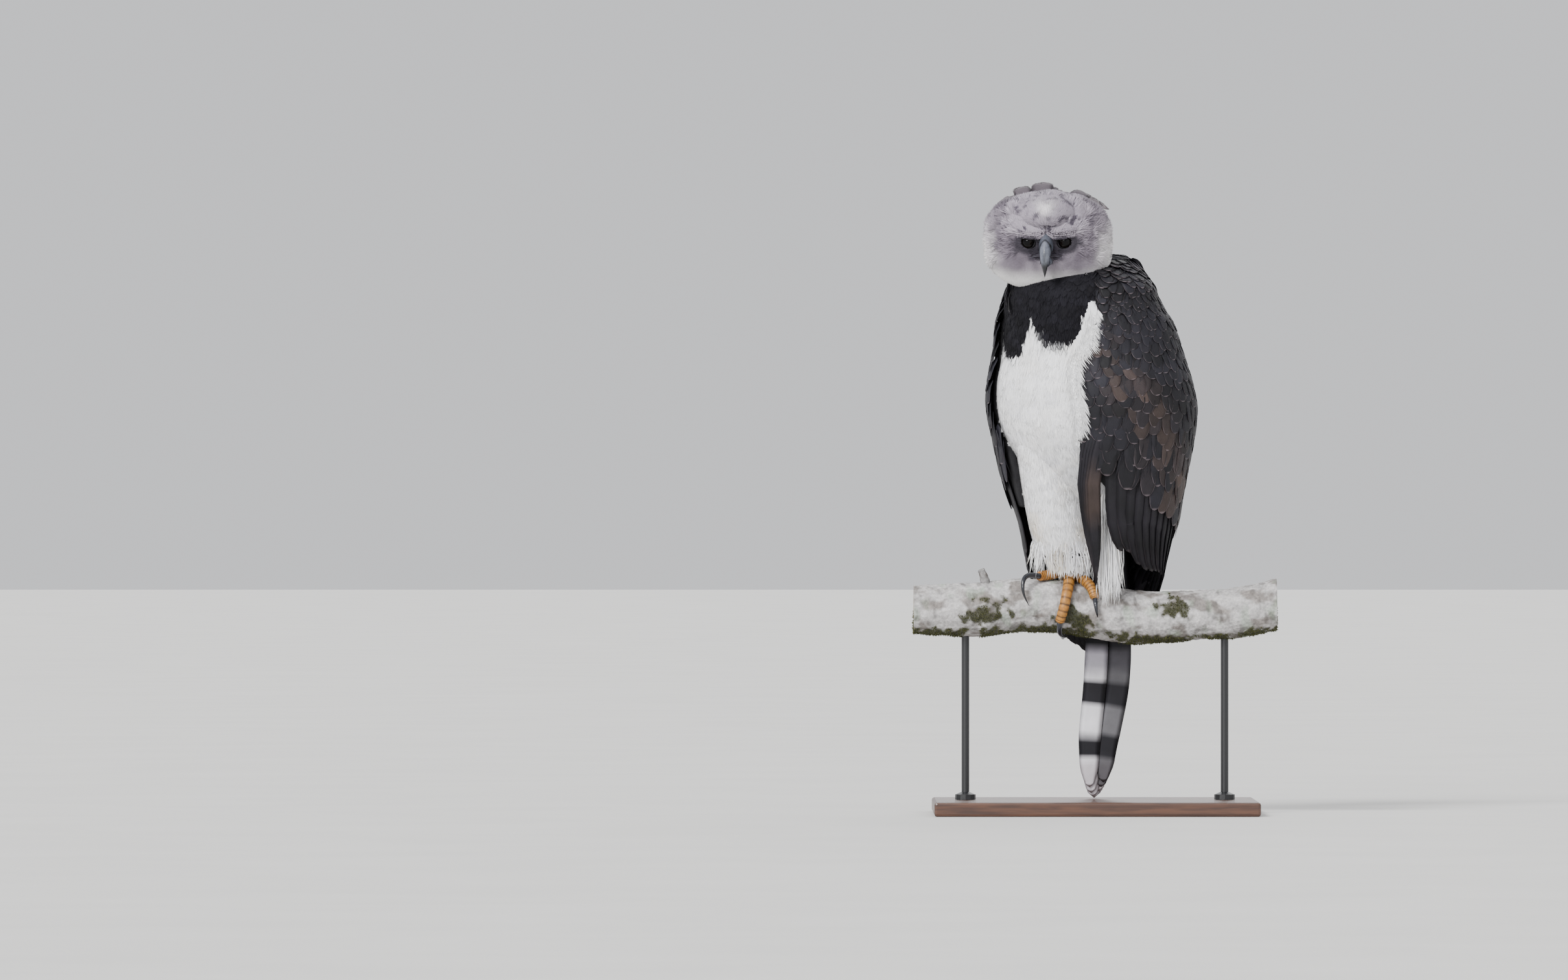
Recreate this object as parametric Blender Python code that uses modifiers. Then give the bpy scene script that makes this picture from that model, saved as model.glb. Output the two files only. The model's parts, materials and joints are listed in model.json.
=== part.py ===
"""Harpy eagle at life size, perched on a cut length of branch that a display stand holds up.

Metres, +Z up, origin under the middle of the stand's base. The branch runs along X, and the bird sits
on it facing -Y, turned a third of a right angle towards -X, with its head turned back to face -Y.
"""

import math

import bmesh
import bpy
from mathutils import Matrix, Vector

# The bird's own axes: its left and its front, in the world's plane.
HEADING = math.radians(33)
LEFT = Vector((math.cos(HEADING), -math.sin(HEADING), 0))
AHEAD = Vector((-math.sin(HEADING), -math.cos(HEADING), 0))

GAP = 0.0004
LOCK_GAP = 0.0065
# Triangles this small are merged and faces this flat to one another are joined after each cut, in radians.
SLIVER = 0.00003
FLAT = 0.008

# The stand.
BASE_SIZE = (0.50, 0.36, 0.022)
BASE_ROUNDING = 0.004
ROD_RADIUS = 0.006
ROD_COLLAR_RADIUS = 0.016
ROD_COLLAR_HEIGHT = 0.008
ROD_SIDE = 0.20
ROD_IN_PERCH = 0.022

# The branch: place along X, height of its middle and radius.
PERCH = (
    (-0.280, 0.316, 0.038),
    (-0.180, 0.316, 0.042),
    (-0.120, 0.322, 0.041),
    (-0.050, 0.320, 0.041),
    (0.000, 0.312, 0.042),
    (0.050, 0.305, 0.0425),
    (0.100, 0.304, 0.040),
    (0.170, 0.308, 0.0385),
    (0.220, 0.311, 0.039),
    (0.280, 0.323, 0.0405),
)
PERCH_SIDES = 16

# The body with its wings folded: height, x, y, half width, half depth and degrees it is turned.
OUTLINE = (
    (0.230, 0.019, 0.070, 0.036, 0.020, 5),
    (0.270, 0.010, 0.066, 0.065, 0.028, 6),
    (0.300, 0.008, 0.060, 0.081, 0.036, 8),
    (0.340, 0.004, 0.048, 0.100, 0.058, 15),
    (0.370, 0.002, 0.034, 0.112, 0.076, 22),
    (0.400, 0.002, 0.022, 0.119, 0.092, 27),
    (0.449, 0.003, 0.005, 0.131, 0.105, 33),
    (0.520, -0.002, -0.003, 0.150, 0.121, 33),
    (0.576, -0.003, -0.005, 0.1625, 0.131, 33),
    (0.620, -0.005, -0.0075, 0.170, 0.137, 33),
    (0.656, -0.008, -0.012, 0.168, 0.135, 33),
    (0.716, -0.012, -0.0185, 0.153, 0.123, 33),
    (0.756, -0.017, -0.027, 0.144, 0.116, 33),
    (0.776, -0.0205, -0.0315, 0.1345, 0.108, 33),
    (0.812, -0.025, -0.0386, 0.119, 0.096, 33),
)
# The torso inside the wings: height, centre ahead, half width, depth in front, depth behind.
TORSO = (
    (0.420, -0.055, 0.030, 0.025, 0.030),
    (0.455, -0.035, 0.062, 0.055, 0.062),
    (0.500, -0.012, 0.098, 0.085, 0.095),
    (0.550, 0.000, 0.125, 0.115, 0.108),
    (0.600, 0.006, 0.143, 0.136, 0.115),
    (0.656, 0.0147, 0.146, 0.134, 0.115),
    (0.716, 0.022, 0.131, 0.123, 0.103),
    (0.756, 0.032, 0.124, 0.116, 0.098),
    (0.790, 0.041, 0.120, 0.106, 0.095),
    (0.811, 0.046, 0.117, 0.095, 0.094),
    (0.834, 0.036, 0.094, 0.074, 0.078),
    (0.852, 0.012, 0.070, 0.056, 0.058),
    (0.863, -0.008, 0.040, 0.034, 0.034),
)
# The legs in their feathers: height, x, y, half width, half depth.
LEG_RIGHT = (
    (0.390, -0.040, -0.006, 0.030, 0.026),
    (0.397, -0.042, -0.006, 0.041, 0.037),
    (0.420, -0.048, -0.008, 0.046, 0.042),
    (0.450, -0.055, -0.012, 0.047, 0.047),
    (0.500, -0.063, -0.020, 0.048, 0.050),
    (0.556, -0.070, -0.030, 0.050, 0.052),
    (0.600, -0.073, -0.040, 0.052, 0.052),
)
LEG_LEFT = (
    (0.4500, 0.031, -0.028, 0.018, 0.020),
    (0.456, 0.031, -0.029, 0.028, 0.031),
    (0.480, 0.031, -0.034, 0.034, 0.038),
    (0.520, 0.030, -0.040, 0.040, 0.044),
    (0.580, 0.030, -0.048, 0.044, 0.048),
)
# The front edge of each folded wing: height and degrees round the body from its front.
FRONT_LEFT = ((0.470, 36), (0.500, 30), (0.530, 22), (0.576, 20), (0.640, 19), (0.700, 22), (0.760, 31), (0.812, 42))
FRONT_RIGHT = ((0.470, 38), (0.500, 36), (0.550, 38), (0.600, 50), (0.640, 50), (0.700, 51), (0.760, 56), (0.812, 62))
WING_BACK = 174
WING_SINK = 0.005
# Rows of wing coverts: height at the front edge, how far the row drops towards the back, length, half width.
COVERTS = (
    (0.808, 0.000, 0.056, 0.0240),
    (0.772, 0.010, 0.062, 0.0265),
    (0.732, 0.022, 0.068, 0.0285),
    (0.688, 0.038, 0.074, 0.0300),
    (0.640, 0.058, 0.082, 0.0310),
    (0.588, 0.080, 0.090, 0.0330),
)
COVERT_SPACING = 1.80
COVERT_LAYER = 0.0016
FLIGHT_OUT = -0.0046
FLIGHT_LAYER = 0.0022
PRIMARY_OUT = -0.0092
FLIGHT_SINK = 0.007
VANE_CROWN = 0.0004
ROOT_SINK = 0.005
# Flight feathers: degrees round the body and height of the tip.
FLIGHTS_LEFT = (
    (45, 0.400), (59, 0.370), (73, 0.362), (87, 0.358), (101, 0.345), (115, 0.302), (129, 0.270), (143, 0.254), (158, 0.242),
)
FLIGHTS_RIGHT = ((60, 0.390), (72, 0.358), (84, 0.320), (97, 0.292), (111, 0.270), (127, 0.256), (143, 0.246), (159, 0.240))
FLIGHT_ROOT = 0.545
FLIGHT_DROP = 0.045
FLIGHT_HALF_WIDTH = 0.0205
PRIMARIES = ((122, 0.262), (151, 0.236))
# The dark feathers at the left wing's front edge, which hang before the standing leg: places down each one.
FRONT_FEATHERS = (
    (26, (-0.022, -0.1275, 0.520), (-0.014, -0.1050, 0.450), (-0.006, -0.0880, 0.400), (-0.004, -0.0780, 0.372)),
    (30, (-0.012, -0.1300, 0.520), (-0.008, -0.1075, 0.450), (-0.002, -0.0890, 0.400), (-0.001, -0.0660, 0.345)),
    (34, (-0.002, -0.1330, 0.520), (-0.001, -0.1100, 0.450), (0.001, -0.0910, 0.400), (0.001, -0.0710, 0.358)),
)
VANE_THICKNESS = 0.0010

# The tail: height, x, y and half spread of the feathers' middles, then each feather's own values.
TAIL = ((0.430, 0.026, 0.0, 0.012), (0.300, 0.023, 0.0, 0.017), (0.200, 0.019, 0.0, 0.018),
        (0.110, 0.007, 0.0, 0.014), (0.040, 0.003, 0.0, 0.010))
TAIL_LAYERS = (0, 2, 4, 6, 8, 7, 5, 3, 1)
TAIL_TIPS = (0.052, 0.043, 0.037, 0.035, 0.037, 0.041, 0.046, 0.052, 0.060)
TAIL_FRONT = 0.056
TAIL_STEP = 0.0016
TAIL_HALF_WIDTH = 0.0175

# Locks of the legs: height of the root, count, length and half width.
LEG_LOCKS = ((0.490, 8, 0.062, 0.0150), (0.434, 10, 0.046, 0.0120))
# The white wisps below the drawn-up leg: x of the root, x of the tip, height of the tip.
WISPS = (
    (0.010, 0.008, 0.352), (0.014, 0.013, 0.330), (0.018, 0.018, 0.318), (0.022, 0.022, 0.324),
    (0.026, 0.028, 0.336), (0.030, 0.030, 0.358),
)
# The feathers round the head stop above the neck and beside the crest.
RUFF_LOWEST = (-0.50, -0.15)
RUFF_HIGHEST = 0.66
# Feathers round the head: forward of the root and of the tip, count, half width, lift.
RUFF = ((0.026, -0.006, 16, 0.0165, 0.0035), (-0.006, -0.044, 12, 0.0170, 0.0030))
# The neck in its dark collar: height, x, y, half width, half depth.
NECK = (
    (0.770, -0.064, -0.060, 0.062, 0.058),
    (0.795, -0.063, -0.060, 0.077, 0.064),
    (0.815, -0.062, -0.058, 0.077, 0.060),
    (0.835, -0.062, -0.054, 0.064, 0.050),
)

# The head, in its own frame: right as seen from the front, forward, up.
HEAD_AT = Vector((-0.0728, -0.078, 0.884))
HEAD_FRAME = (
    Matrix.Translation(HEAD_AT) @ Matrix.Rotation(math.radians(-6), 4, "Z") @ Matrix.Rotation(math.radians(12), 4, "X")
)
# Sections of the head: forward, half width, height above and depth below.
HEAD = (
    (-0.074, 0.026, 0.030, 0.028),
    (-0.062, 0.052, 0.050, 0.054),
    (-0.040, 0.066, 0.061, 0.066),
    (-0.014, 0.078, 0.067, 0.068),
    (0.006, 0.091, 0.0695, 0.070),
    (0.018, 0.0955, 0.069, 0.072),
    (0.029, 0.0925, 0.066, 0.070),
    (0.037, 0.083, 0.060, 0.063),
    (0.044, 0.066, 0.050, 0.051),
    (0.049, 0.044, 0.036, 0.036),
    (0.052, 0.020, 0.018, 0.018),
)
CROWN_SQUARENESS = 3.0
JAW_SQUARENESS = 2.5
FOREHEAD_AT = (0, 0.016, 0.046)
FOREHEAD_SIZE = (0.052, 0.047, 0.029)
EYE_AT = (0.0277, 0.0405, 0.0062)
EYE_RADIUS = 0.0125
# The upper bill: ridge forward and up, lower edge forward and up, half width.
BILL_UPPER = (
    (0.047, 0.0195, 0.040, -0.0112, 0.0145),
    (0.056, 0.0175, 0.048, -0.0122, 0.0138),
    (0.066, 0.0140, 0.055, -0.0130, 0.0125),
    (0.077, 0.0070, 0.063, -0.0145, 0.0115),
    (0.085, -0.0030, 0.070, -0.0170, 0.0102),
    (0.089, -0.0145, 0.075, -0.0220, 0.0084),
    (0.089, -0.0260, 0.079, -0.0285, 0.0056),
    (0.086, -0.0360, 0.0815, -0.0360, 0.0026),
)
BILL_UPPER_TIP = (0.083, -0.0425)
BILL_LOWER = (
    (0.042, -0.0135, 0.040, -0.0285, 0.0142),
    (0.050, -0.0153, 0.047, -0.0302, 0.0126),
    (0.058, -0.0170, 0.056, -0.0305, 0.0105),
    (0.066, -0.0200, 0.065, -0.0300, 0.0075),
)
BILL_LOWER_TIP = (0.0715, -0.0260)
GAPE = ((0.010, 0.056, -0.0135), (0.020, 0.051, -0.0155), (0.0285, 0.0475, -0.0180))

# The toes of the standing foot: place along the branch, degrees from its top and lift above the bark.
STANDING_TOES = (
    ((-0.042, -6, 0.011), (-0.058, 6, 0.011), (-0.072, 14, 0.008), (-0.084, 24, 0.009)),
    ((-0.040, 2, 0.012), (-0.041, 40, 0.0085), (-0.047, 80, 0.0085), (-0.054, 112, 0.0085)),
    ((-0.036, -4, 0.012), (-0.018, 22, 0.0085), (-0.007, 42, 0.008), (-0.002, 60, 0.0075)),
    ((-0.042, -10, 0.012), (-0.044, -45, 0.009), (-0.046, -80, 0.009), (-0.047, -104, 0.009)),
)
STANDING_CLAWS = (
    ((-0.086, 27, 0.010), (-0.108, 44, 0.020), (-0.112, 66, 0.016), (-0.102, 92, 0.003)),
    ((-0.0555, 119, 0.009), (-0.055, 140, 0.011), (-0.048, 160, 0.008), (-0.040, 176, 0.002)),
    ((-0.001, 66, 0.0075), (0.000, 80, 0.011), (0.002, 92, 0.008), (0.003, 101, 0.002)),
    ((-0.0475, -112, 0.009), (-0.049, -138, 0.014), (-0.049, -162, 0.010), (-0.047, -180, 0.002)),
)
FIST_TOES = ((-0.013, -0.010), (0.0, 0.0), (0.013, 0.010))
DRAWN_UP_AT = Vector((0.026, -0.031, 0.423))
TOE_RADIUS = 0.0080
CLAW_RADIUS = 0.0045
TARSUS_RADIUS = 0.013


def clear_scene():
    for obj in list(bpy.data.objects):
        bpy.data.objects.remove(obj)


def new_collection(name):
    collection = bpy.data.collections.new(name)
    bpy.context.scene.collection.children.link(collection)
    return collection


def material(name, colour, roughness, metallic=0.0):
    made = bpy.data.materials.new(name)
    made.use_nodes = True
    shader = made.node_tree.nodes["Principled BSDF"]
    shader.inputs["Base Color"].default_value = (*colour, 1)
    shader.inputs["Roughness"].default_value = roughness
    shader.inputs["Metallic"].default_value = metallic
    return made


def smooth(stations, at):
    """The row of a table of stations at a place between them, on a smooth curve through the rows."""
    places = [row[0] for row in stations]
    at = min(max(at, places[0]), places[-1])
    i = max(k for k in range(len(places) - 1) if places[k] <= at)
    span = places[i + 1] - places[i]
    t = (at - places[i]) / span

    def slope(k, column):
        low, high = max(k - 1, 0), min(k + 1, len(places) - 1)
        return (stations[high][column] - stations[low][column]) / (places[high] - places[low])

    row = []
    for column in range(1, len(stations[0])):
        a, b = stations[i][column], stations[i + 1][column]
        m, n = slope(i, column) * span, slope(i + 1, column) * span
        row.append(
            a * (1 + 2 * t) * (1 - t) ** 2 + m * t * (1 - t) ** 2 + b * t * t * (3 - 2 * t) - n * t * t * (1 - t)
        )
    return row


def steps(first, last, count):
    """Evenly spaced values from first to last, both included."""
    return [first + (last - first) * k / (count - 1) for k in range(count)]


def bird_point(side, ahead, up):
    """The world point that far to the bird's left, ahead and up."""
    return LEFT * side + AHEAD * ahead + Vector((0, 0, up))


def link(name, mesh, collection, finish):
    obj = bpy.data.objects.new(name, mesh)
    collection.objects.link(obj)
    mesh.materials.append(finish)
    return obj


def loft(name, rings, collection, finish, poles=(None, None)):
    """A closed solid through rings of points, each end closed by a fan to its pole or to its own middle."""
    shape = bmesh.new()
    rows = [[shape.verts.new(point) for point in ring] for ring in rings]
    count = len(rows[0])
    for row, following in zip(rows, rows[1:]):
        for k in range(count):
            a, b, c, d = row[k], row[(k + 1) % count], following[(k + 1) % count], following[k]
            halves = ((a, b, c), (a, c, d)) if 2 * k < count else ((a, b, d), (b, c, d))
            for half in halves:
                shape.faces.new(half)
    for row, ring, pole in ((rows[0], rings[0], poles[0]), (rows[-1], rings[-1], poles[1])):
        tip = shape.verts.new(pole or sum(ring, Vector()) / count)
        for k in range(count):
            shape.faces.new((row[k], row[(k + 1) % count], tip))
    bmesh.ops.recalc_face_normals(shape, faces=shape.faces)
    mesh = bpy.data.meshes.new(name)
    shape.to_mesh(mesh)
    shape.free()
    mesh.shade_smooth()
    return link(name, mesh, collection, finish)


def signed_volume(faces):
    return sum(f.verts[0].co.dot(f.verts[1].co.cross(f.verts[2].co)) for f in faces) / 6


def settle(obj):
    """Applies the modifiers and keeps the largest closed surface of what they leave."""
    graph = bpy.context.evaluated_depsgraph_get()
    mesh = bpy.data.meshes.new_from_object(obj.evaluated_get(graph))
    obj.modifiers.clear()
    shape = bmesh.new()
    shape.from_mesh(mesh)
    bmesh.ops.triangulate(shape, faces=shape.faces)
    islands = []
    unseen = set(shape.faces)
    while unseen:
        island, front = set(), [unseen.pop()]
        while front:
            face = front.pop()
            island.add(face)
            near = {other for edge in face.edges for other in edge.link_faces} & unseen
            unseen -= near
            front.extend(near)
        islands.append(island)
    kept = max(islands, key=lambda island: abs(signed_volume(island)))
    bmesh.ops.delete(shape, geom=[f for f in shape.faces if f not in kept], context="FACES")
    shape.to_mesh(mesh)
    for merged, flat in ((SLIVER, FLAT), (0, FLAT), (0, FLAT / 4)):
        shape.clear()
        shape.from_mesh(mesh)
        if merged:
            bmesh.ops.remove_doubles(shape, verts=shape.verts, dist=merged)
        bmesh.ops.dissolve_limit(shape, angle_limit=flat, verts=shape.verts, edges=shape.edges)
        bmesh.ops.triangulate(shape, faces=shape.faces)
        if all(edge.is_manifold for edge in shape.edges):
            shape.to_mesh(mesh)
            break
    shape.free()
    obj.data = mesh


def swollen(obj, by):
    """A copy of a solid with its surface moved out a little, for cutting its neighbour clear of it."""
    copy = bpy.data.objects.new("cutter", obj.data.copy())
    copy.matrix_world = obj.matrix_world
    bpy.context.scene.collection.objects.link(copy)
    normals = [v.normal.copy() for v in copy.data.vertices]
    for vertex, normal in zip(copy.data.vertices, normals):
        vertex.co += normal * by
    copy.hide_render = True
    copy.display_type = "WIRE"
    return copy


def cut_clear(obj, neighbours, gap=GAP):
    """Cuts a solid back so that it keeps the gap to each of its neighbours."""
    for neighbour in neighbours:
        cutter = swollen(neighbour, gap)
        cut = obj.modifiers.new("clear", "BOOLEAN")
        cut.operation = "DIFFERENCE"
        cut.object = cutter
        cut.solver = "MANIFOLD"
        settle(obj)
        bpy.data.objects.remove(cutter)


def fuse(obj, pieces):
    """Joins closed pieces to a solid as one closed body."""
    joined = new_collection("pieces")
    for piece in pieces:
        for old in list(piece.users_collection):
            old.objects.unlink(piece)
        joined.objects.link(piece)
    union = obj.modifiers.new("joined", "BOOLEAN")
    union.operation = "UNION"
    union.operand_type = "COLLECTION"
    union.collection = joined
    union.solver = "MANIFOLD"
    settle(obj)
    for piece in pieces:
        bpy.data.objects.remove(piece)
    bpy.data.collections.remove(joined)


def oval(centre, across, along, half_across, half_along, sides):
    """A ring of points on an ellipse."""
    turns = [2 * math.pi * k / sides for k in range(sides)]
    return [centre + across * half_across * math.cos(a) + along * half_along * math.sin(a) for a in turns]


def column(name, stations, sides, count, collection, finish):
    """A solid of oval level sections, from rows of height, x, y, half width and half depth."""
    rings = []
    for height in steps(stations[0][0], stations[-1][0], count):
        x, y, half_width, half_depth = smooth(stations, height)
        rings.append(oval(Vector((x, y, height)), Vector((1, 0, 0)), Vector((0, 1, 0)), half_width, half_depth, sides))
    return loft(name, rings, collection, finish)


def perch_row(x):
    """Height of the branch's middle and its radius at a place along it."""
    return smooth(PERCH, x)


def on_perch(x, angle, lift):
    """A point at an angle from the branch's top towards -Y, and that far above its bark."""
    height, radius = perch_row(x)
    return Vector((x, -(radius + lift) * math.sin(angle), height + (radius + lift) * math.cos(angle)))


def make_perch(collection, finish):
    rings = []
    for x in steps(PERCH[0][0], PERCH[-1][0], 21):
        height, radius = perch_row(x)
        rings.append(oval(Vector((x, 0, height)), Vector((0, 1, 0)), Vector((0, 0, 1)), radius, radius, PERCH_SIDES))
    perch = loft("perch", rings, collection, finish)
    stub_root = on_perch(-0.166, 0.2, -0.010)
    stub_tip = on_perch(-0.176, 0.2, 0.022)
    lean = (stub_tip - stub_root).normalized()
    across = lean.orthogonal().normalized()
    stub = [oval(stub_root, across, lean.cross(across), 0.008, 0.008, 8), oval(stub_tip, across, lean.cross(across), 0.005, 0.005, 8)]
    fuse(perch, [loft("stub", stub, collection, finish)])
    return perch


def make_stand(collection, perch, wood, steel):
    bpy.ops.mesh.primitive_cube_add(size=1, location=(0, 0, BASE_SIZE[2] / 2))
    base = bpy.context.object
    base.name = "stand_base"
    base.scale = BASE_SIZE
    bpy.ops.object.transform_apply(location=False, rotation=False, scale=True)
    rounding = base.modifiers.new("rounding", "BEVEL")
    rounding.width = BASE_ROUNDING
    rounding.segments = 2
    base.data.materials.append(wood)
    for owner in list(base.users_collection):
        owner.objects.unlink(base)
    collection.objects.link(base)
    for name, x in (("stand_rod_left", ROD_SIDE), ("stand_rod_right", -ROD_SIDE)):
        height, radius = perch_row(x)
        foot = BASE_SIZE[2] + GAP
        top = height - radius + ROD_IN_PERCH
        heights = ((foot, ROD_COLLAR_RADIUS), (foot + ROD_COLLAR_HEIGHT, ROD_COLLAR_RADIUS))
        heights += ((foot + ROD_COLLAR_HEIGHT * 1.5, ROD_RADIUS), (top, ROD_RADIUS))
        rings = [oval(Vector((x, 0, z)), Vector((1, 0, 0)), Vector((0, 1, 0)), r, r, 12) for z, r in heights]
        rod = loft(name, rings, collection, steel)
        cut_clear(perch, [rod])


def make_torso(collection, finish):
    rings = []
    for height in steps(TORSO[0][0], TORSO[-1][0], 17):
        ahead, half_width, in_front, behind = smooth(TORSO, height)
        ring = []
        for k in range(24):
            turn = 2 * math.pi * k / 24
            depth = in_front if math.cos(turn) > 0 else behind
            ring.append(bird_point(half_width * math.sin(turn), ahead + depth * math.cos(turn), height))
        rings.append(ring)
    return loft("torso", rings, collection, finish)


def face(right, forward, up):
    """The world point at a place in the head's own frame."""
    return HEAD_FRAME @ Vector((right, -forward, up))


def make_head(collection, finish):
    rings = []
    sides = 28
    for forward, half_width, above, below in HEAD:
        ring = []
        for k in range(sides):
            turn = 2 * math.pi * k / sides
            power = CROWN_SQUARENESS if math.sin(turn) > 0 else JAW_SQUARENESS
            rim = (abs(math.cos(turn)) ** power + abs(math.sin(turn)) ** power) ** (-1 / power)
            tall = above if math.sin(turn) > 0 else below
            ring.append(face(half_width * rim * math.cos(turn), forward, tall * rim * math.sin(turn)))
        rings.append(ring)
    poles = (face(0, HEAD[0][0] - 0.004, 0), face(0, HEAD[-1][0] + 0.001, 0))
    head = loft("head", rings, collection, finish, poles)
    pieces = [ball("forehead", FOREHEAD_AT, FOREHEAD_SIZE, 16, 9)]
    for side in (-1, 1):
        pieces.append(brow(side))
        pieces.append(lid(side, 0.0108, 200, 340, 0.0022))
        lips = [face(side * right, forward, up) for right, forward, up in GAPE]
        pieces.append(tube("lip", lips, (0.0024, 0.0026, 0.0016), 6))
    fuse(head, pieces)
    return head


def ball(name, at, size, sides, rows):
    """A squashed ball in the head's frame."""
    rings = []
    for polar in steps(math.pi / (rows + 1), math.pi * rows / (rows + 1), rows):
        turns = [2 * math.pi * k / sides for k in range(sides)]
        up = at[2] + size[2] * math.cos(polar)
        wide = math.sin(polar)
        rings.append([face(at[0] + size[0] * wide * math.cos(a), at[1] + size[1] * wide * math.sin(a), up) for a in turns])
    return piece(name, rings, (face(at[0], at[1], at[2] + size[2]), face(at[0], at[1], at[2] - size[2])))


def piece(name, rings, poles=(None, None)):
    """A closed solid to be fused to another, kept out of the object's own collection."""
    return loft(name, rings, bpy.context.scene.collection, bpy.data.materials[0], poles)


def tube(name, path, radii, sides, poles=(None, None)):
    """A round solid along a path of points with a radius at each."""
    return piece(name, tube_rings(path, radii, sides), poles)


def tube_rings(path, radii, sides):
    rings = []
    across = None
    for k, (point, radius) in enumerate(zip(path, radii)):
        along = (path[min(k + 1, len(path) - 1)] - path[max(k - 1, 0)]).normalized()
        across = along.orthogonal() if across is None else across - along * across.dot(along)
        across = across.normalized()
        rings.append(oval(point, across, along.cross(across), radius, radius, sides))
    return rings


def brow(side):
    """The heavy ridge that shades the eye, from beside the bill out over the eye."""
    marks = ((0.012, 0.052, 0.0120), (0.022, 0.0545, 0.0165), (0.034, 0.0520, 0.0190), (0.046, 0.0440, 0.0195))
    path = [face(side * right, forward, up) for right, forward, up in marks]
    return tube("brow", path, (0.0035, 0.0052, 0.0055, 0.0035), 8)


def lid(side, radius, first, last, thickness):
    """A lid's edge as an arc round the eye, between two directions in degrees from outside."""
    path = []
    for turn in steps(math.radians(first), math.radians(last), 7):
        right = EYE_AT[0] + radius * math.cos(turn)
        up = EYE_AT[2] + radius * 0.82 * math.sin(turn) + 0.10 * radius * math.cos(turn)
        path.append(face(side * right, EYE_AT[1] + 0.0075, up))
    return tube("lid", path, [thickness * 0.7] + [thickness] * 5 + [thickness * 0.7], 6)


def make_eye(name, side, collection, finish):
    at = (side * EYE_AT[0], EYE_AT[1], EYE_AT[2])
    eye = ball(name, at, (EYE_RADIUS,) * 3, 14, 7)
    return adopt(eye, name, collection, finish)


def adopt(obj, name, collection, finish):
    """Gives a loose piece its name, its collection and its finish."""
    for owner in list(obj.users_collection):
        owner.objects.unlink(obj)
    collection.objects.link(obj)
    obj.name = name
    obj.data.materials.clear()
    obj.data.materials.append(finish)
    return obj


def make_bill(name, stations, tip, collection, finish):
    """Half of the bill, from rows of its upper edge, its lower edge and its half width."""
    rings = []
    for top_forward, top_up, low_forward, low_up, half_width in stations:
        ring = []
        for k in range(12):
            turn = 2 * math.pi * k / 12
            down = (1 - math.cos(turn)) / 2
            bulge = math.sin(turn) * (0.80 + 0.30 * down)
            forward = top_forward + (low_forward - top_forward) * down
            ring.append(face(half_width * bulge, forward, top_up + (low_up - top_up) * down))
        rings.append(ring)
    return loft(name, rings, collection, finish, (None, face(0, *tip)))


def curve(marks, count):
    """Evenly spaced points on a smooth curve through a few marks."""
    table = [(k, *mark) for k, mark in enumerate(marks)]
    return [Vector(smooth(table, at)) for at in steps(0, len(marks) - 1, count)]


def standing_path(marks, count):
    points = [on_perch(x, math.radians(angle), lift) for x, angle, lift in marks]
    return curve(points, count)


def scuted(count, radius):
    """Radii along a toe whose ring scales stand out, thinner towards the claw."""
    return [radius * (1.12 - 0.22 * k / (count - 1)) * (1.0 if k % 2 else 0.90) for k in range(count)]


def make_standing_foot(perch, collection, finish):
    foot = tube("foot", curve(((-0.041, -0.002, 0.372), (-0.045, -0.008, 0.400), (-0.050, -0.012, 0.432)), 5),
                [TARSUS_RADIUS * 1.15] + [TARSUS_RADIUS] * 4, 12)
    foot = adopt(foot, "foot_right", collection, finish)
    toes = [tube("toe", standing_path(marks, 11), scuted(11, TOE_RADIUS), 8) for marks in STANDING_TOES]
    fuse(foot, toes)
    cut_clear(foot, [perch])
    return foot


def make_claw(name, path, radius, collection, finish):
    radii = [radius * r for r in (1.0, 0.95, 0.80, 0.60, 0.34)]
    claw = tube(name, path[:5], radii, 8, (None, path[5]))
    return adopt(claw, name, collection, finish)


def fist_point(right, ahead, up):
    """A point in the frame of the foot that is drawn up under the belly."""
    return DRAWN_UP_AT + LEFT * right + AHEAD * ahead + Vector((0, 0, up))


def make_drawn_up_foot(collection, finish):
    foot = tube("foot", [fist_point(0, -0.006, 0.020), fist_point(0, -0.004, 0.010), fist_point(0, 0, 0.000)],
                [TARSUS_RADIUS * 0.9] * 3, 10)
    foot = adopt(foot, "foot_left", collection, finish)
    toes = []
    for side, lean in FIST_TOES:
        marks = (fist_point(side * 0.5, 0, 0.002), fist_point(side, 0.016, -0.004), fist_point(side + lean * 0.5, 0.020, -0.022))
        toes.append(tube("toe", curve(marks, 6), scuted(6, TOE_RADIUS * 0.86), 7))
    marks = (fist_point(0, -0.004, 0.004), fist_point(0, -0.016, -0.006), fist_point(0, -0.015, -0.020))
    toes.append(tube("toe", curve(marks, 6), scuted(6, TOE_RADIUS * 0.86), 7))
    fuse(foot, toes)
    return foot


def make_claws(feet, perch, collection, finish):
    claws = []
    for k, marks in enumerate(STANDING_CLAWS):
        path = standing_path(marks, 6)
        claws.append(make_claw(f"claw_right_{k + 1}", path, CLAW_RADIUS * (0.8 if k == 2 else 1.0), collection, finish))
    for k, (side, lean) in enumerate(FIST_TOES):
        side += lean * 0.5
        marks = (fist_point(side, 0.020, -0.026), fist_point(side, 0.019, -0.034), fist_point(side, 0.008, -0.042))
        claws.append(make_claw(f"claw_left_{k + 1}", curve(marks, 6), CLAW_RADIUS * 0.85, collection, finish))
    marks = (fist_point(0, -0.015, -0.025), fist_point(0, -0.014, -0.034), fist_point(0, -0.004, -0.041))
    claws.append(make_claw("claw_left_4", curve(marks, 6), CLAW_RADIUS * 0.85, collection, finish))
    for claw in claws:
        cut_clear(claw, [*feet, perch])
    return claws


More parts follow.
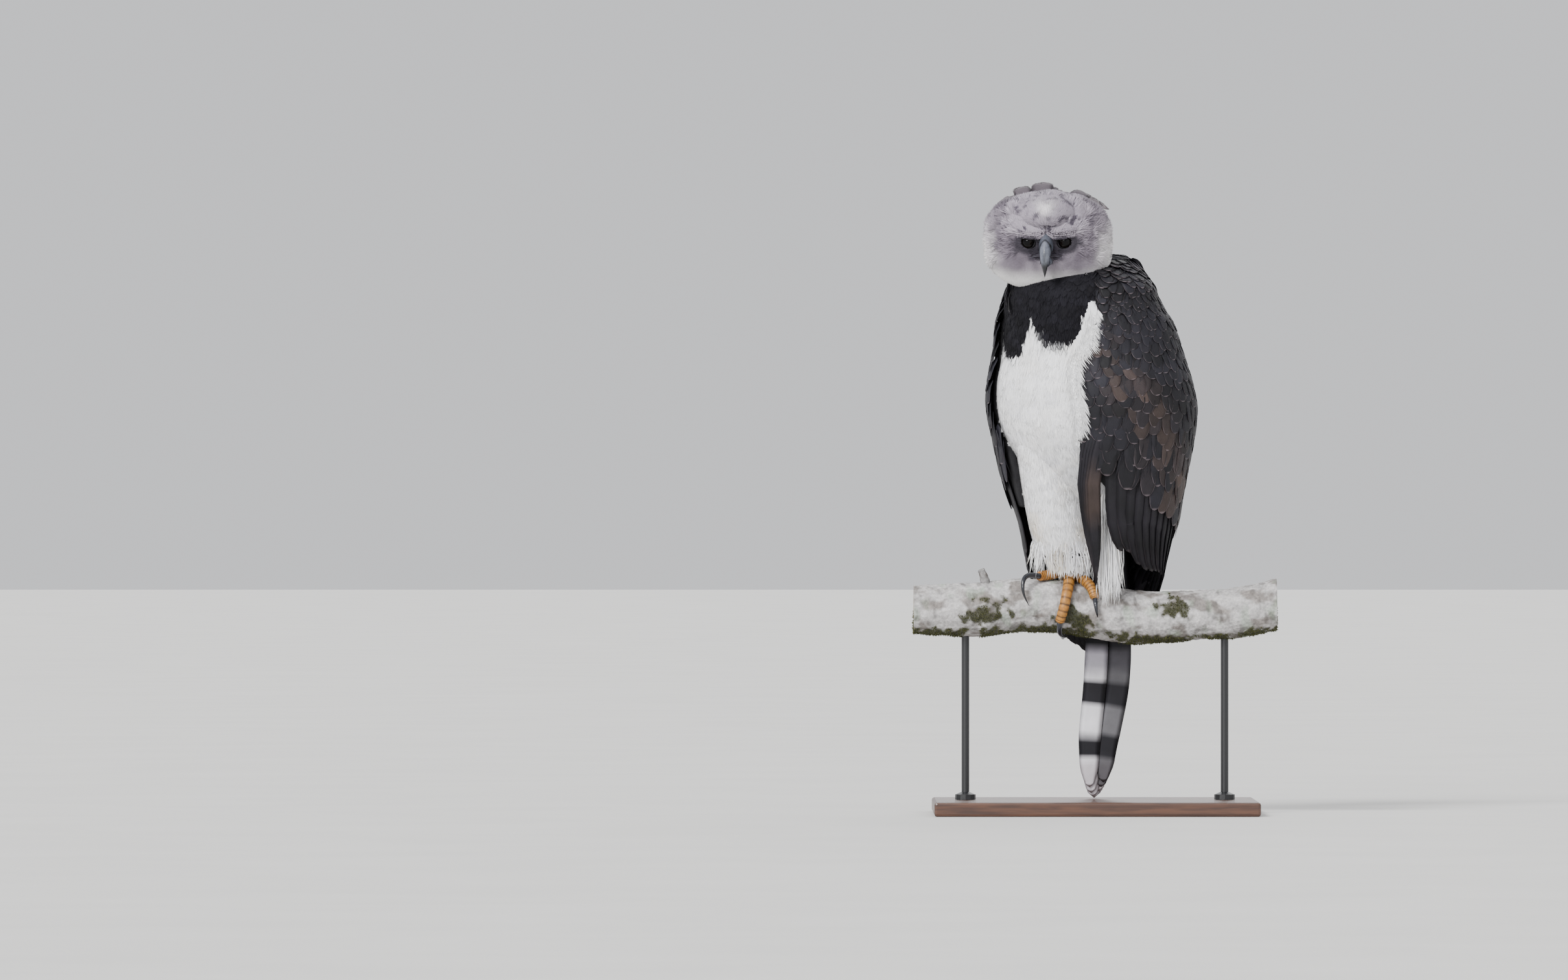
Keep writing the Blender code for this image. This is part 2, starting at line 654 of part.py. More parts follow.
# The crest: root right, forward and up; tip right, forward and up; half width.
CREST = (
    (-0.012, -0.030, 0.050, -0.014, -0.066, 0.0765, 0.019),
    (-0.036, -0.026, 0.048, -0.052, -0.058, 0.0700, 0.016),
    (0.034, -0.026, 0.048, 0.058, -0.060, 0.0590, 0.018),
    (0.014, -0.032, 0.048, 0.018, -0.078, 0.0560, 0.017),
    (-0.052, -0.018, 0.042, -0.078, -0.036, 0.0520, 0.013),
    (0.050, -0.018, 0.042, 0.078, -0.036, 0.0480, 0.013),
    (-0.022, -0.050, 0.036, -0.034, -0.108, 0.0400, 0.019),
    (0.020, -0.050, 0.036, 0.030, -0.110, 0.0360, 0.019),
    (0.0, -0.048, 0.042, -0.003, -0.104, 0.0580, 0.019),
)


def vane(spine, across, half_widths, thickness, cup=0.12):
    """A feather's vane along a spine, flat or, where it is cupped, hollow on its underside."""
    rings = []
    for k, (point, half_width) in enumerate(zip(spine, half_widths)):
        along = (spine[min(k + 1, len(spine) - 1)] - spine[max(k - 1, 0)]).normalized()
        wide = (across - along * across.dot(along)).normalized()
        up = wide.cross(along).normalized()
        half = thickness / 2
        low = up * (-cup * half_width)
        left, right = point - wide * half_width + low, point + wide * half_width + low
        rings.append([left + up * half, right + up * half, right - up * half, left - up * half])
        if cup > 0.1:
            rings[-1].insert(1, point + up * half)
            rings[-1].insert(4, point - up * half)
    end = spine[-1] + (spine[-1] - spine[-2]).normalized() * half_widths[-1] * 0.5
    return piece("vane", rings, (None, end))


def make_crest(head, collection, finish):
    pad = ball("crest", (0, -0.034, 0.040), (0.052, 0.036, 0.024), 14, 6)
    crest = adopt(pad, "crest", collection, finish)
    pieces = []
    for row in CREST:
        root, tip = Vector(row[0:3]), Vector(row[3:6])
        middle = (root + tip) / 2 + Vector((0, -0.006, 0.010))
        spine = [face(*point) for point in curve((root, middle, tip), 5)]
        across = face(1, 0, 0) - face(0, 0, 0)
        pieces.append(vane(spine, across, [row[6] * w for w in (0.45, 0.8, 1.0, 0.95, 0.6)], 0.0012))
    fuse(crest, pieces)
    cut_clear(crest, [head])
    return crest


def wing_point(side, angle, height, out):
    """A point at degrees round the body from its front, and that far outside the folded wings' outline."""
    x, y, half_width, half_depth, turned = smooth(OUTLINE, height)
    turned, angle = math.radians(turned), math.radians(angle)
    left = Vector((math.cos(turned), -math.sin(turned), 0)) * side
    ahead = Vector((-math.sin(turned), -math.cos(turned), 0))
    normal = (left * math.sin(angle) / half_width + ahead * math.cos(angle) / half_depth).normalized()
    flat = left * half_width * math.sin(angle) + ahead * half_depth * math.cos(angle) + normal * out
    return flat + Vector((x, y, height))


def shell(name, outer, inner, collection, finish):
    """A closed solid between two grids of points of the same size, joined round their edges."""
    shape = bmesh.new()
    front = [[shape.verts.new(point) for point in row] for row in outer]
    back = [[shape.verts.new(point) for point in row] for row in inner]
    for grid in (front, back):
        for row, following in zip(grid, grid[1:]):
            for k in range(len(row) - 1):
                shape.faces.new((row[k], row[k + 1], following[k + 1]))
                shape.faces.new((row[k], following[k + 1], following[k]))

    def edge(grid):
        return grid[0] + [row[-1] for row in grid[1:]] + grid[-1][-2::-1] + [row[0] for row in grid[-2:0:-1]]

    rim, other = edge(front), edge(back)
    for k in range(len(rim)):
        following = (k + 1) % len(rim)
        shape.faces.new((rim[k], rim[following], other[following]))
        shape.faces.new((rim[k], other[following], other[k]))
    bmesh.ops.recalc_face_normals(shape, faces=shape.faces)
    mesh = bpy.data.meshes.new(name)
    shape.to_mesh(mesh)
    shape.free()
    mesh.shade_smooth()
    return link(name, mesh, collection, finish)


def core_out(height):
    """How far the core of a wing lies outside the outline: below it, and deeper behind the flight feathers."""
    deeper = min(1, max(0, (0.60 - height) / 0.05))
    return -WING_SINK - FLIGHT_SINK * deeper * deeper * (3 - 2 * deeper)


def wing_core(name, side, front, collection, finish):
    outer, inner = [], []
    for height in steps(front[0][0], front[-1][0], 9):
        first = smooth(front, height)[0]
        angles = steps(first, WING_BACK, 13)
        thick = 0.010 + 0.008 * min(1, (height - front[0][0]) / 0.10)
        out = core_out(height)
        outer.append([wing_point(side, angle, height, out) for angle in angles])
        inner.append([wing_point(side, angle, height, out - thick) for angle in angles])
    return shell(name, outer, inner, collection, finish)


def wing_vane(side, root, tip, half_width, places):
    """A feather laid on the folded wing from a root to a tip, each an angle and a height.

    Each place down it is a share of its length, how far outside the outline it is and a share of its width.
    """
    rings = []
    for t, out, share in places:
        angle = root[0] + (tip[0] - root[0]) * t
        height = root[1] + (tip[1] - root[1]) * t
        spread = half_width * share / arc_per_degree(side, angle, height)
        across = ((-spread, 0), (0, VANE_CROWN), (spread, 0))
        upper = [wing_point(side, angle + turn, height, out + crown) for turn, crown in across]
        lower = [wing_point(side, angle + turn, height, out + crown - VANE_THICKNESS) for turn, crown in across]
        rings.append(upper + lower[::-1])
    end = (sum(rings[-1], Vector()) - sum(rings[-2], Vector())).normalized() * half_width * 0.35
    return piece("vane", rings, (None, sum(rings[-1], Vector()) / 6 + end))


def arc_per_degree(side, angle, height):
    return (wing_point(side, angle + 1, height, 0) - wing_point(side, angle - 1, height, 0)).length / 2


def even_angles(side, height, first, last, count, start):
    """Angles that are evenly spaced along the wing's surface, not along the angle."""
    angles = steps(first, last, 41)
    runs = [0]
    for a, b in zip(angles, angles[1:]):
        runs.append(runs[-1] + arc_per_degree(side, (a + b) / 2, height) * (b - a))
    found = []
    for k in range(count):
        wanted = runs[-1] * (k + start) / count
        i = max(j for j in range(40) if runs[j] <= wanted)
        found.append(angles[i] + (angles[i + 1] - angles[i]) * (wanted - runs[i]) / (runs[i + 1] - runs[i]))
    return found, runs[-1]


def covert_row(side, front, row, number):
    height, drop, length, half_width = row
    first = smooth(front, height)[0] + 3
    middle_height = height - length / 2 - drop / 2
    _, arc = even_angles(side, middle_height, first, WING_BACK, 1, 0)
    count = round(arc / (COVERT_SPACING * half_width))
    angles, _ = even_angles(side, middle_height, first, WING_BACK, count, 0.5 * (number % 2) + 0.08)
    vanes = []
    for k, angle in enumerate(angles):
        fall = drop * min(1, max(0, (angle - 35) / 75)) ** 1.3
        vary = 1 + 0.05 * math.sin(2.4 * k + 1.7 * number)
        long = length * vary * (1 + 0.12 * min(1, max(0, (angle - 60) / 60)))
        root = (angle, min(height - fall, front[-1][0] - 0.004))
        tip = (angle + 1.0 * math.sin(1.9 * k), root[1] - long)
        under = COVERT_LAYER * (k % 2)
        deep = core_out(root[1]) - ROOT_SINK
        places = ((0, deep, 0.55), (0.12, -0.0042 - under, 0.88), (0.55, -0.0012 - under, 1.0), (1, 0.0022 - under, 0.62))
        vanes.append(wing_vane(side, root, tip, half_width * vary, places))
    return vanes


def make_wing(name, side, front, flights, collection, finish):
    """A folded wing: a core at the shoulder, rows of coverts over it and flight feathers below."""
    wing = wing_core(name, side, front, collection, finish)
    vanes = []
    for number, row in enumerate(COVERTS):
        vanes += covert_row(side, front, row, number)
    for under, rows in ((FLIGHT_OUT, flights), (PRIMARY_OUT, PRIMARIES)):
        for k, (angle, tip) in enumerate(rows):
            root = FLIGHT_ROOT - FLIGHT_DROP * min(1, max(0, (angle - 45) / 60))
            out = under - FLIGHT_LAYER * (k % 2)
            places = ((0, core_out(root) - ROOT_SINK, 0.6), (0.07, out, 0.85), (0.38, out, 1.0), (0.72, out, 0.80), (1, out, 0.42))
            vanes.append(wing_vane(side, (angle, root), (angle, tip), FLIGHT_HALF_WIDTH, places))
    if side > 0:
        for angle, *places in FRONT_FEATHERS:
            spine = [wing_point(side, angle, 0.585, -0.010)] + [Vector(place) for place in places]
            vanes.append(vane(spine, Vector((1, 0.25, 0)), [0.0105 * w for w in (0.8, 1, 0.95, 0.8, 0.5)], VANE_THICKNESS))
    fuse(wing, vanes)
    return wing


def make_tail(collection, finish):
    """The closed tail: a short core with its feathers in layers, the outermost in front."""
    rings = []
    middle_y = TAIL_FRONT + TAIL_STEP * 4
    for height, half_width, half_depth in ((0.455, 0.020, 0.008), (0.440, 0.030, 0.0105), (0.40, 0.034, 0.0105), (0.345, 0.032, 0.009)):
        x = smooth(TAIL[::-1], height)[0]
        rings.append(oval(Vector((x, middle_y, height)), Vector((1, 0, 0)), Vector((0, 1, 0)), half_width, half_depth, 14))
    tail = loft("tail", rings, collection, finish)
    vanes = []
    for k, (layer, tip) in enumerate(zip(TAIL_LAYERS, TAIL_TIPS)):
        spine = []
        for height in steps(0.405, tip, 6):
            x, _, spread = smooth(TAIL[::-1], height)
            y = TAIL_FRONT + TAIL_STEP * layer + 0.010 * max(0, (0.25 - height) / 0.2)
            spine.append(Vector((x + spread * (k - 4) / 4, y, height)))
        shape = (0.70, 0.85, 1.0, 1.0, 0.92, 0.60)
        vanes.append(vane(spine, Vector((-1, 0, 0)), [TAIL_HALF_WIDTH * w for w in shape], VANE_THICKNESS, 0.02))
    fuse(tail, vanes)
    return tail


def lock(points, across, half_width):
    """A flat tapered lock of feather along a few points, wide above its middle and fine at its tip."""
    spine = curve([tuple(point) for point in points], 4)
    return vane(spine, across, [half_width * w for w in (0.7, 1.0, 0.75, 0.25)], 0.0012, 0.15)


def leg_locks(stations, first_angle):
    """Rows of locks round a feathered leg, each over the one below."""
    locks = []
    for number, (height, count, length, half_width) in enumerate(LEG_LOCKS):
        for k in range(count):
            turn = 2 * math.pi * (k + 0.5 * (number % 2)) / count + first_angle
            away = Vector((math.cos(turn), math.sin(turn), 0))
            points = []
            for t, out in ((0, -0.005), (0.5, 0.0012), (1, 0.0035)):
                level = height - length * (1 + 0.12 * math.sin(2.7 * k)) * t
                x, y, half_wide, half_deep = smooth(stations, max(level, 0.420))
                points.append(Vector((x + (half_wide + out) * away.x, y + (half_deep + out) * away.y, level)))
            locks.append(lock(points, Vector((-away.y, away.x, 0)), half_width))
    return locks


def make_leg_right(collection, finish):
    leg = column("leg_right", LEG_RIGHT, 20, 9, collection, finish)
    fuse(leg, leg_locks(LEG_RIGHT, 0.3))
    return leg


def make_leg_left(collection, finish):
    leg = column("leg_left", LEG_LEFT, 20, 7, collection, finish)
    wisps = []
    for k, (root_x, tip_x, tip_up) in enumerate(WISPS):
        front = -0.080 + 0.0025 * (k % 2)
        points = (Vector((root_x, front + 0.022, 0.478)), Vector((root_x, front, 0.440)),
                  Vector(((root_x + tip_x) / 2, front + 0.004, 0.395)), Vector((tip_x, front + 0.020, tip_up)))
        wisps.append(lock(points, Vector((1, 0, 0)), 0.0056))
    fuse(leg, wisps)
    return leg


def ruff_vanes():
    """Rounded feathers in rings round the head, lying back from the rim of the face."""
    table = [row for row in HEAD]
    vanes = []
    for number, (root_forward, tip_forward, count, half_width, lift) in enumerate(RUFF):
        for k in range(count):
            turn = 2 * math.pi * (k + 0.5 * (number % 2)) / count
            if math.sin(turn) < RUFF_LOWEST[number] or math.sin(turn) > RUFF_HIGHEST:
                continue
            spine = []
            for t in (0, 0.33, 0.7, 1):
                forward = root_forward + (tip_forward - root_forward) * t
                half_wide, above, below = smooth(table, forward)
                power = CROWN_SQUARENESS if math.sin(turn) > 0 else JAW_SQUARENESS
                rim = (abs(math.cos(turn)) ** power + abs(math.sin(turn)) ** power) ** (-1 / power)
                tall = above if math.sin(turn) > 0 else below
                out = 1 + (-0.004 + (0.004 + lift) * t) / half_wide
                spine.append(face(half_wide * rim * math.cos(turn) * out, forward, tall * rim * math.sin(turn) * out))
            across = face(-math.sin(turn), 0, math.cos(turn)) - face(0, 0, 0)
            vanes.append(vane(spine, across, [half_width * w for w in (0.6, 1.0, 1.0, 0.6)], VANE_THICKNESS, 0.08))
    return vanes


def build():
    clear_scene()
    bird = new_collection("harpy_eagle")
    white = material("white_feather", (0.85, 0.85, 0.86), 0.8)
    dark = material("slate_feather", (0.03, 0.032, 0.038), 0.7)
    grey = material("grey_feather", (0.42, 0.41, 0.43), 0.8)
    skin = material("yellow_foot_scales", (0.60, 0.32, 0.06), 0.55)
    bark = material("pale_bark", (0.55, 0.54, 0.55), 0.9)
    wood = material("dark_stained_wood", (0.10, 0.06, 0.04), 0.5)
    steel = material("black_painted_steel", (0.04, 0.04, 0.045), 0.4)

    horn = material("grey_horn", (0.17, 0.20, 0.26), 0.35)
    claw_black = material("black_claw", (0.02, 0.022, 0.028), 0.3)
    eye_dark = material("dark_eye", (0.02, 0.012, 0.01), 0.1)

    perch = make_perch(bird, bark)
    make_stand(bird, perch, wood, steel)
    torso = make_torso(bird, white)
    neck = column("neck", NECK, 22, 5, bird, dark)
    head = make_head(bird, grey)
    bill_upper = make_bill("bill_upper", BILL_UPPER, BILL_UPPER_TIP, bird, horn)
    bill_lower = make_bill("bill_lower", BILL_LOWER, BILL_LOWER_TIP, bird, horn)
    cut_clear(bill_lower, [bill_upper])
    eyes = [make_eye(name, side, bird, eye_dark) for name, side in (("eye_right", -1), ("eye_left", 1))]
    cut_clear(head, [bill_upper, bill_lower, *eyes])
    cut_clear(neck, [head, bill_lower])
    cut_clear(torso, [head, neck])
    fuse(head, ruff_vanes())
    cut_clear(torso, [head])
    crest = make_crest(head, bird, grey)
    feet = [make_standing_foot(perch, bird, skin), make_drawn_up_foot(bird, skin)]
    claws = make_claws(feet, perch, bird, claw_black)
    leg_right = make_leg_right(bird, white)
    leg_left = make_leg_left(bird, white)
    for leg in (leg_left, leg_right):
        cut_clear(leg, [torso, feet[0], perch])
    cut_clear(leg_left, [leg_right])
    tail = make_tail(bird, dark)
    cut_clear(tail, [torso])
    wing_left = make_wing("wing_left", 1, FRONT_LEFT, FLIGHTS_LEFT, bird, dark)
    wing_right = make_wing("wing_right", -1, FRONT_RIGHT, FLIGHTS_RIGHT, bird, dark)
    for wing in (wing_left, wing_right):
        cut_clear(wing, [torso, neck, head, crest, perch, tail])
    inside_locks = column("cutter", LEG_RIGHT, 20, 9, bird, white)
    for wing in (wing_left, wing_right):
        cut_clear(wing, [inside_locks], LOCK_GAP)
    bpy.data.objects.remove(inside_locks)
    cut_clear(wing_left, [leg_left])
    cut_clear(wing_right, [wing_left])


build()
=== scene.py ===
"""A harpy eagle at rest on a cut length of branch, dressed as a museum model.

The bird's skin, coat, wings, tail, face, bill, feet and perch are each a class that builds
its own meshes. Lengths are in metres, and in millimetres in the tables. +Z is up and the bird
looks towards -Y.
"""

import json
import logging
import math
from dataclasses import dataclass
from enum import Enum
from typing import Callable, Optional, Sequence

import bmesh
import bpy
import numpy as np
from mathutils import Matrix, Vector
from mathutils.bvhtree import BVHTree
from mathutils.kdtree import KDTree

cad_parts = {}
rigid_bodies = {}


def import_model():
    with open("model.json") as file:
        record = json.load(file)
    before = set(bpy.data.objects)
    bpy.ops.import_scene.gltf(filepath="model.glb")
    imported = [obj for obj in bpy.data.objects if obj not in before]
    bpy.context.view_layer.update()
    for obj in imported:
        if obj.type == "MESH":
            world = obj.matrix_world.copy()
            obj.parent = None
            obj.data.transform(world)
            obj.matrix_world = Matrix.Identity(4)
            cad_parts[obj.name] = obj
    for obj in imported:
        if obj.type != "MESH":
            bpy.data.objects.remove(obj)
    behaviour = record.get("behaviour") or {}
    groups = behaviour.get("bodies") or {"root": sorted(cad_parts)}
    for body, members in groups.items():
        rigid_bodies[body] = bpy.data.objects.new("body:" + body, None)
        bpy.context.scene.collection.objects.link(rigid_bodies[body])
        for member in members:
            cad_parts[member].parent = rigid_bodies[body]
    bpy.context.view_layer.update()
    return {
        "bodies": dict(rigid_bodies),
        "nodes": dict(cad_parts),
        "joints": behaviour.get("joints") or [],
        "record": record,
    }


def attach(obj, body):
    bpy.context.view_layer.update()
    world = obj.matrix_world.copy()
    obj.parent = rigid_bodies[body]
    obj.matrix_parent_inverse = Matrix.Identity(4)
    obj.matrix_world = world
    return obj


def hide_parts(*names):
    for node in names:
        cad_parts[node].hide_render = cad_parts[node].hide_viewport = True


log = logging.getLogger("harpy")
Array = np.ndarray
Material, Node, Piece = bpy.types.Material, bpy.types.Node, bpy.types.Object
Socket, Tree = bpy.types.NodeSocket, bpy.types.NodeTree
Dice = np.random.Generator
Pair, Triple = tuple[Array, Array], tuple[Array, Array, Array]
Rule = Callable[[Array], Array]
Table = Sequence[Sequence[float]]


def metres(rows: Sequence, turn: int = -1) -> tuple:
    """A table in millimetres made metres, all but its column of degrees."""
    if isinstance(rows[0], (int, float)):
        return tuple(value if k == turn else value / 1000 for k, value in enumerate(rows))
    return tuple(metres(row, turn) for row in rows)


# The bird's own axes.
HEADING = math.radians(33)
LEFT = np.array((math.cos(HEADING), -math.sin(HEADING), 0.0))
AHEAD = np.array((-math.sin(HEADING), -math.cos(HEADING), 0.0))
UP = np.array((0.0, 0.0, 1.0))

# The outline of bird and folded wings: height, middle x and y, half width, half depth, turn in degrees.
OUTLINE = metres((
    (230, 19, 70, 36, 20, 5), (270, 10, 66, 65, 28, 6), (300, 8, 60, 81, 36, 8), (340, 4, 48, 100, 58, 15),
    (370, 2, 34, 112, 76, 22), (400, 2, 22, 119, 92, 27), (449, 3, 5, 131, 105, 33),
    (520, -2, -3, 150, 121, 33), (576, -3, -5, 162.5, 131, 33), (620, -5, -7.5, 170, 137, 33),
    (656, -8, -12, 168, 135, 33), (716, -12, -18.5, 153, 123, 33), (756, -17, -27, 144, 116, 33),
    (776, -20.5, -31.5, 134.5, 108, 33), (812, -25, -38.6, 119, 96, 33),
), 5)
# The body between the wings: height, middle ahead, half width, depth in front, depth behind.
TORSO = metres((
    (420, -55, 30, 25, 30), (455, -35, 62, 55, 62), (500, -12, 98, 85, 95), (550, 0, 125, 115, 108),
    (600, 6, 143, 136, 115), (656, 14.7, 146, 134, 115), (716, 22, 131, 123, 103), (756, 32, 124, 116, 98),
    (790, 41, 120, 106, 95), (811, 46, 117, 95, 94), (834, 36, 94, 74, 78), (852, 12, 70, 56, 58),
    (863, -8, 40, 34, 34),
))
# The feathered legs and the neck: height, middle x and y, half width, half depth.
LEG_RIGHT = metres((
    (390, -40, -6, 30, 26), (397, -42, -6, 41, 37), (420, -48, -8, 46, 42), (450, -55, -12, 47, 47),
    (500, -63, -20, 48, 50), (556, -70, -30, 50, 52), (600, -73, -40, 52, 52),
))
LEG_LEFT = metres((
    (450, 31, -28, 18, 20), (456, 31, -29, 28, 31), (480, 31, -34, 34, 38), (520, 30, -40, 40, 44),
    (580, 30, -48, 44, 48),
))
NECK = metres((
    (760, -60, -58, 64, 56), (790, -56, -52, 78, 66), (820, -52, -44, 79, 68), (850, -54, -36, 72, 60),
    (880, -60, -32, 62, 50), (905, -66, -36, 46, 36),
))
# Where each folded wing's front edge lies: height and degrees from the bird's front.
FRONT_LEFT = metres((
    (470, 36), (500, 30), (530, 22), (576, 20), (640, 19), (700, 22), (760, 31), (812, 42),
), 1)
FRONT_RIGHT = metres((
    (470, 38), (500, 36), (550, 38), (600, 50), (640, 50), (700, 51), (760, 56), (812, 62),
), 1)
# The secondaries' places: degrees from the front and height of the tip.
FLIGHTS_LEFT = metres((
    (45, 392), (59, 354), (73, 350), (87, 349), (101, 340), (115, 302), (129, 270), (143, 254), (158, 242),
), 0)
FLIGHTS_RIGHT = metres((
    (60, 390), (72, 358), (84, 320), (97, 292), (111, 270), (127, 256), (143, 246), (159, 240),
), 0)
# The tail: height, middle x, half spread.
TAIL = metres((
    (40, 3, 10), (110, 7, 14), (200, 19, 18), (300, 23, 17), (430, 26, 12),
))
TAIL_LAYERS = (0, 2, 4, 6, 8, 7, 5, 3, 1)
TAIL_TIPS = (0.052, 0.043, 0.037, 0.035, 0.037, 0.041, 0.046, 0.052, 0.06)
TAIL_FRONT = 0.056
TAIL_STEP = 0.0016
# The head in its own frame: forward, half width, height above and below its middle.
HEAD = metres((
    (-74, 26, 30, 28), (-62, 52, 50, 54), (-40, 66, 61, 66), (-14, 78, 67, 68), (6, 91, 69.5, 70),
    (18, 95.5, 69, 72), (29, 92.5, 66, 70), (37, 83, 60, 63), (44, 66, 50, 51), (49, 44, 36, 36),
    (52, 20, 18, 18),
))
HEAD_AT = Vector((-0.0728, -0.078, 0.884))
HEAD_TURN, HEAD_NOD = math.radians(-6), math.radians(12)
HEAD_FRAME = Matrix.Translation(HEAD_AT) @ Matrix.Rotation(HEAD_TURN, 4, "Z") @ Matrix.Rotation(HEAD_NOD, 4, "X")
CROWN_SQUARENESS = 3.0
JAW_SQUARENESS = 2.5
FOREHEAD_AT = (0.0, 0.016, 0.046)
FOREHEAD_SIZE = (0.052, 0.047, 0.029)
EYE_AT = (0.0277, 0.0405, 0.0062)
EYE_RADIUS = 0.0125
# The upper bill: forward and up of its ridge, forward and up of its cutting edge, half width.
BILL_UPPER = metres((
    (47, 19.5, 40, -11.2, 14.5), (56, 17.5, 48, -12.2, 13.8), (66, 14, 55, -13, 12.5), (77, 7, 63, -14.5, 11.5),
    (85, -3, 70, -17, 10.2), (89, -14.5, 75, -22, 8.4), (89, -26, 79, -28.5, 5.6), (86, -36, 81.5, -36, 2.6),
))
BILL_UPPER_TIP = (0.083, -0.0425)
BILL_LOWER = metres((
    (42, -13.5, 40, -28.5, 14.2), (50, -15.3, 47, -30.2, 12.6), (58, -17, 56, -30.5, 10.5),
    (66, -20, 65, -30, 7.5),
))
BILL_LOWER_TIP = (0.0715, -0.026)
# The branch: x, height of its middle, radius.
PERCH = metres((
    (-280, 316, 38), (-180, 316, 42), (-120, 322, 41), (-50, 320, 41), (0, 312, 42), (50, 305, 42.5),
    (100, 304, 40), (170, 308, 38.5), (220, 311, 39), (280, 323, 40.5),
))
# Toes and claws of the standing foot: x, degrees from the branch's top towards -Y, height above the bark.
STANDING_TOES = metres((
    ((-42, -6, 11), (-58, 6, 11), (-72, 14, 8), (-84, 24, 9)),
    ((-40, 2, 12), (-41, 40, 8.5), (-47, 80, 8.5), (-54, 112, 8.5)),
    ((-36, -4, 12), (-18, 22, 8.5), (-7, 42, 8), (-2, 60, 7.5)),
    ((-42, -10, 12), (-44, -45, 9), (-46, -80, 9), (-47, -104, 9)),
), 1)
STANDING_CLAWS = metres((
    ((-86, 27, 10), (-108, 44, 20), (-112, 66, 16), (-102, 92, 3)),
    ((-55.5, 119, 9), (-55, 140, 11), (-48, 160, 8), (-40, 176, 2)),
    ((-1, 66, 7.5), (0, 80, 11), (2, 92, 8), (3, 101, 2)),
    ((-47.5, -112, 9), (-49, -138, 14), (-49, -162, 10), (-47, -180, 2)),
), 1)
TARSUS = metres((
    (-41, -2, 372), (-45, -8, 400), (-50, -12, 432),
))
TOE_RADIUS = 0.008
CLAW_RADIUS = 0.0045
TARSUS_RADIUS = 0.013
FIST_AT = np.array((0.026, -0.031, 0.423))
FIST_TOES = ((-0.013, -0.01), (0.0, 0.0), (0.013, 0.01))
# The crest's feathers: root right, forward, up; tip right, forward, up; half width.
CREST = metres((
    (-12, -30, 50, -14, -66, 76.5, 19), (-36, -26, 48, -52, -58, 70, 16), (34, -26, 48, 58, -60, 59, 18),
    (14, -32, 48, 18, -78, 56, 17), (-52, -18, 42, -78, -36, 52, 13), (50, -18, 42, 78, -36, 48, 13),
    (-22, -50, 36, -34, -108, 40, 19), (20, -50, 36, 30, -110, 36, 19), (0, -48, 42, -3, -104, 58, 19),
))


def linear(code: str) -> tuple[float, float, float]:
    """Turns an sRGB hex colour into linear light.

    Args:
        code: six hex digits with or without a leading #.

    Returns:
        The three linear channels.
    """
    parts = [int(code.lstrip("#")[k:k + 2], 16) / 255 for k in (0, 2, 4)]
    return tuple(c / 12.92 if c <= 0.04045 else ((c + 0.055) / 1.055) ** 2.4 for c in parts)


def ink(code: str) -> Array:
    """A hex colour as a linear array."""
    return np.array(linear(code))


def unit(rows: Array) -> Array:
    """Rows scaled to length one."""
    return rows / np.maximum(np.linalg.norm(rows, axis=-1, keepdims=True), 1e-12)


def ramp(value: Array, low: float, high: float) -> Array:
    """A soft step from 0 below low to 1 above high."""
    t = np.clip((np.asarray(value, float) - low) / (high - low), 0, 1)
    return t * t * (3 - 2 * t)


def mixed(a: Array | str, b: Array | str, share: Array) -> Array:
    """Colours a, rows or a hex code, turned towards b by a share of each row."""
    a, b = (ink(side) if isinstance(side, str) else side for side in (a, b))
    share = np.asarray(share, float)[..., None]
    return a * (1 - share) + b * share


def layered(colour: Array, *layers: tuple[str, Array]) -> Array:
    """Colours under layers, each a hex code and its share."""
    for code, share in layers:
        colour = mixed(colour, code, share)
    return colour


class Profile:
    """Rows of numbers read smoothly between their stations."""

    def __init__(self, rows: Table) -> None:
        table = np.array(rows, float)
        self.keys = table[:, 0]
        self.values = table[:, 1:]
        low = np.maximum(np.arange(len(table)) - 1, 0)
        high = np.minimum(np.arange(len(table)) + 1, len(table) - 1)
        self.slopes = (self.values[high] - self.values[low]) / (self.keys[high] - self.keys[low])[:, None]

    def at(self, key: Array) -> Array:
        """Reads the curve.

        Args:
            key: places along the first column, of any shape.

        Returns:
            An array with one last axis more, which holds the columns.
        """
        key = np.clip(np.asarray(key, float), self.keys[0], self.keys[-1])
        i = np.clip(np.searchsorted(self.keys, key, side="right") - 1, 0, len(self.keys) - 2)
        span = (self.keys[i + 1] - self.keys[i])[..., None]
        t = (key - self.keys[i])[..., None] / span
        a, b = self.values[i], self.values[i + 1]
        m, n = self.slopes[i] * span, self.slopes[i + 1] * span
        return a * (1 + 2 * t) * (1 - t) ** 2 + m * t * (1 - t) ** 2 + b * t * t * (3 - 2 * t) - n * t * t * (1 - t)


def curve(marks: Table, count: int) -> Array:
    """Evenly spaced points on a smooth curve through a few marks."""
    table = [(k, *mark) for k, mark in enumerate(marks)]
    return Profile(table).at(np.linspace(0, len(marks) - 1, count))


def face(right: Array, forward: Array, up: Array) -> Array:
    """World points from places in the head's own frame."""
    frame = np.array(HEAD_FRAME)
    right, forward, up = np.broadcast_arrays(right, forward, up)
    local = np.stack((right, -np.asarray(forward, float), up), -1)
    return local @ frame[:3, :3].T + frame[:3, 3]


def face_way(right: float, forward: float, up: float) -> Array:
    """A world direction from one in the head's own frame."""
    return face(right, forward, up) - face(0, 0, 0)


def in_head(point: Array) -> Triple:
    """Places right, forward and up in the head's own frame of world points."""
    inverse = np.array(HEAD_FRAME.inverted())
    local = point @ inverse[:3, :3].T + inverse[:3, 3]
    return local[..., 0], -local[..., 1], local[..., 2]


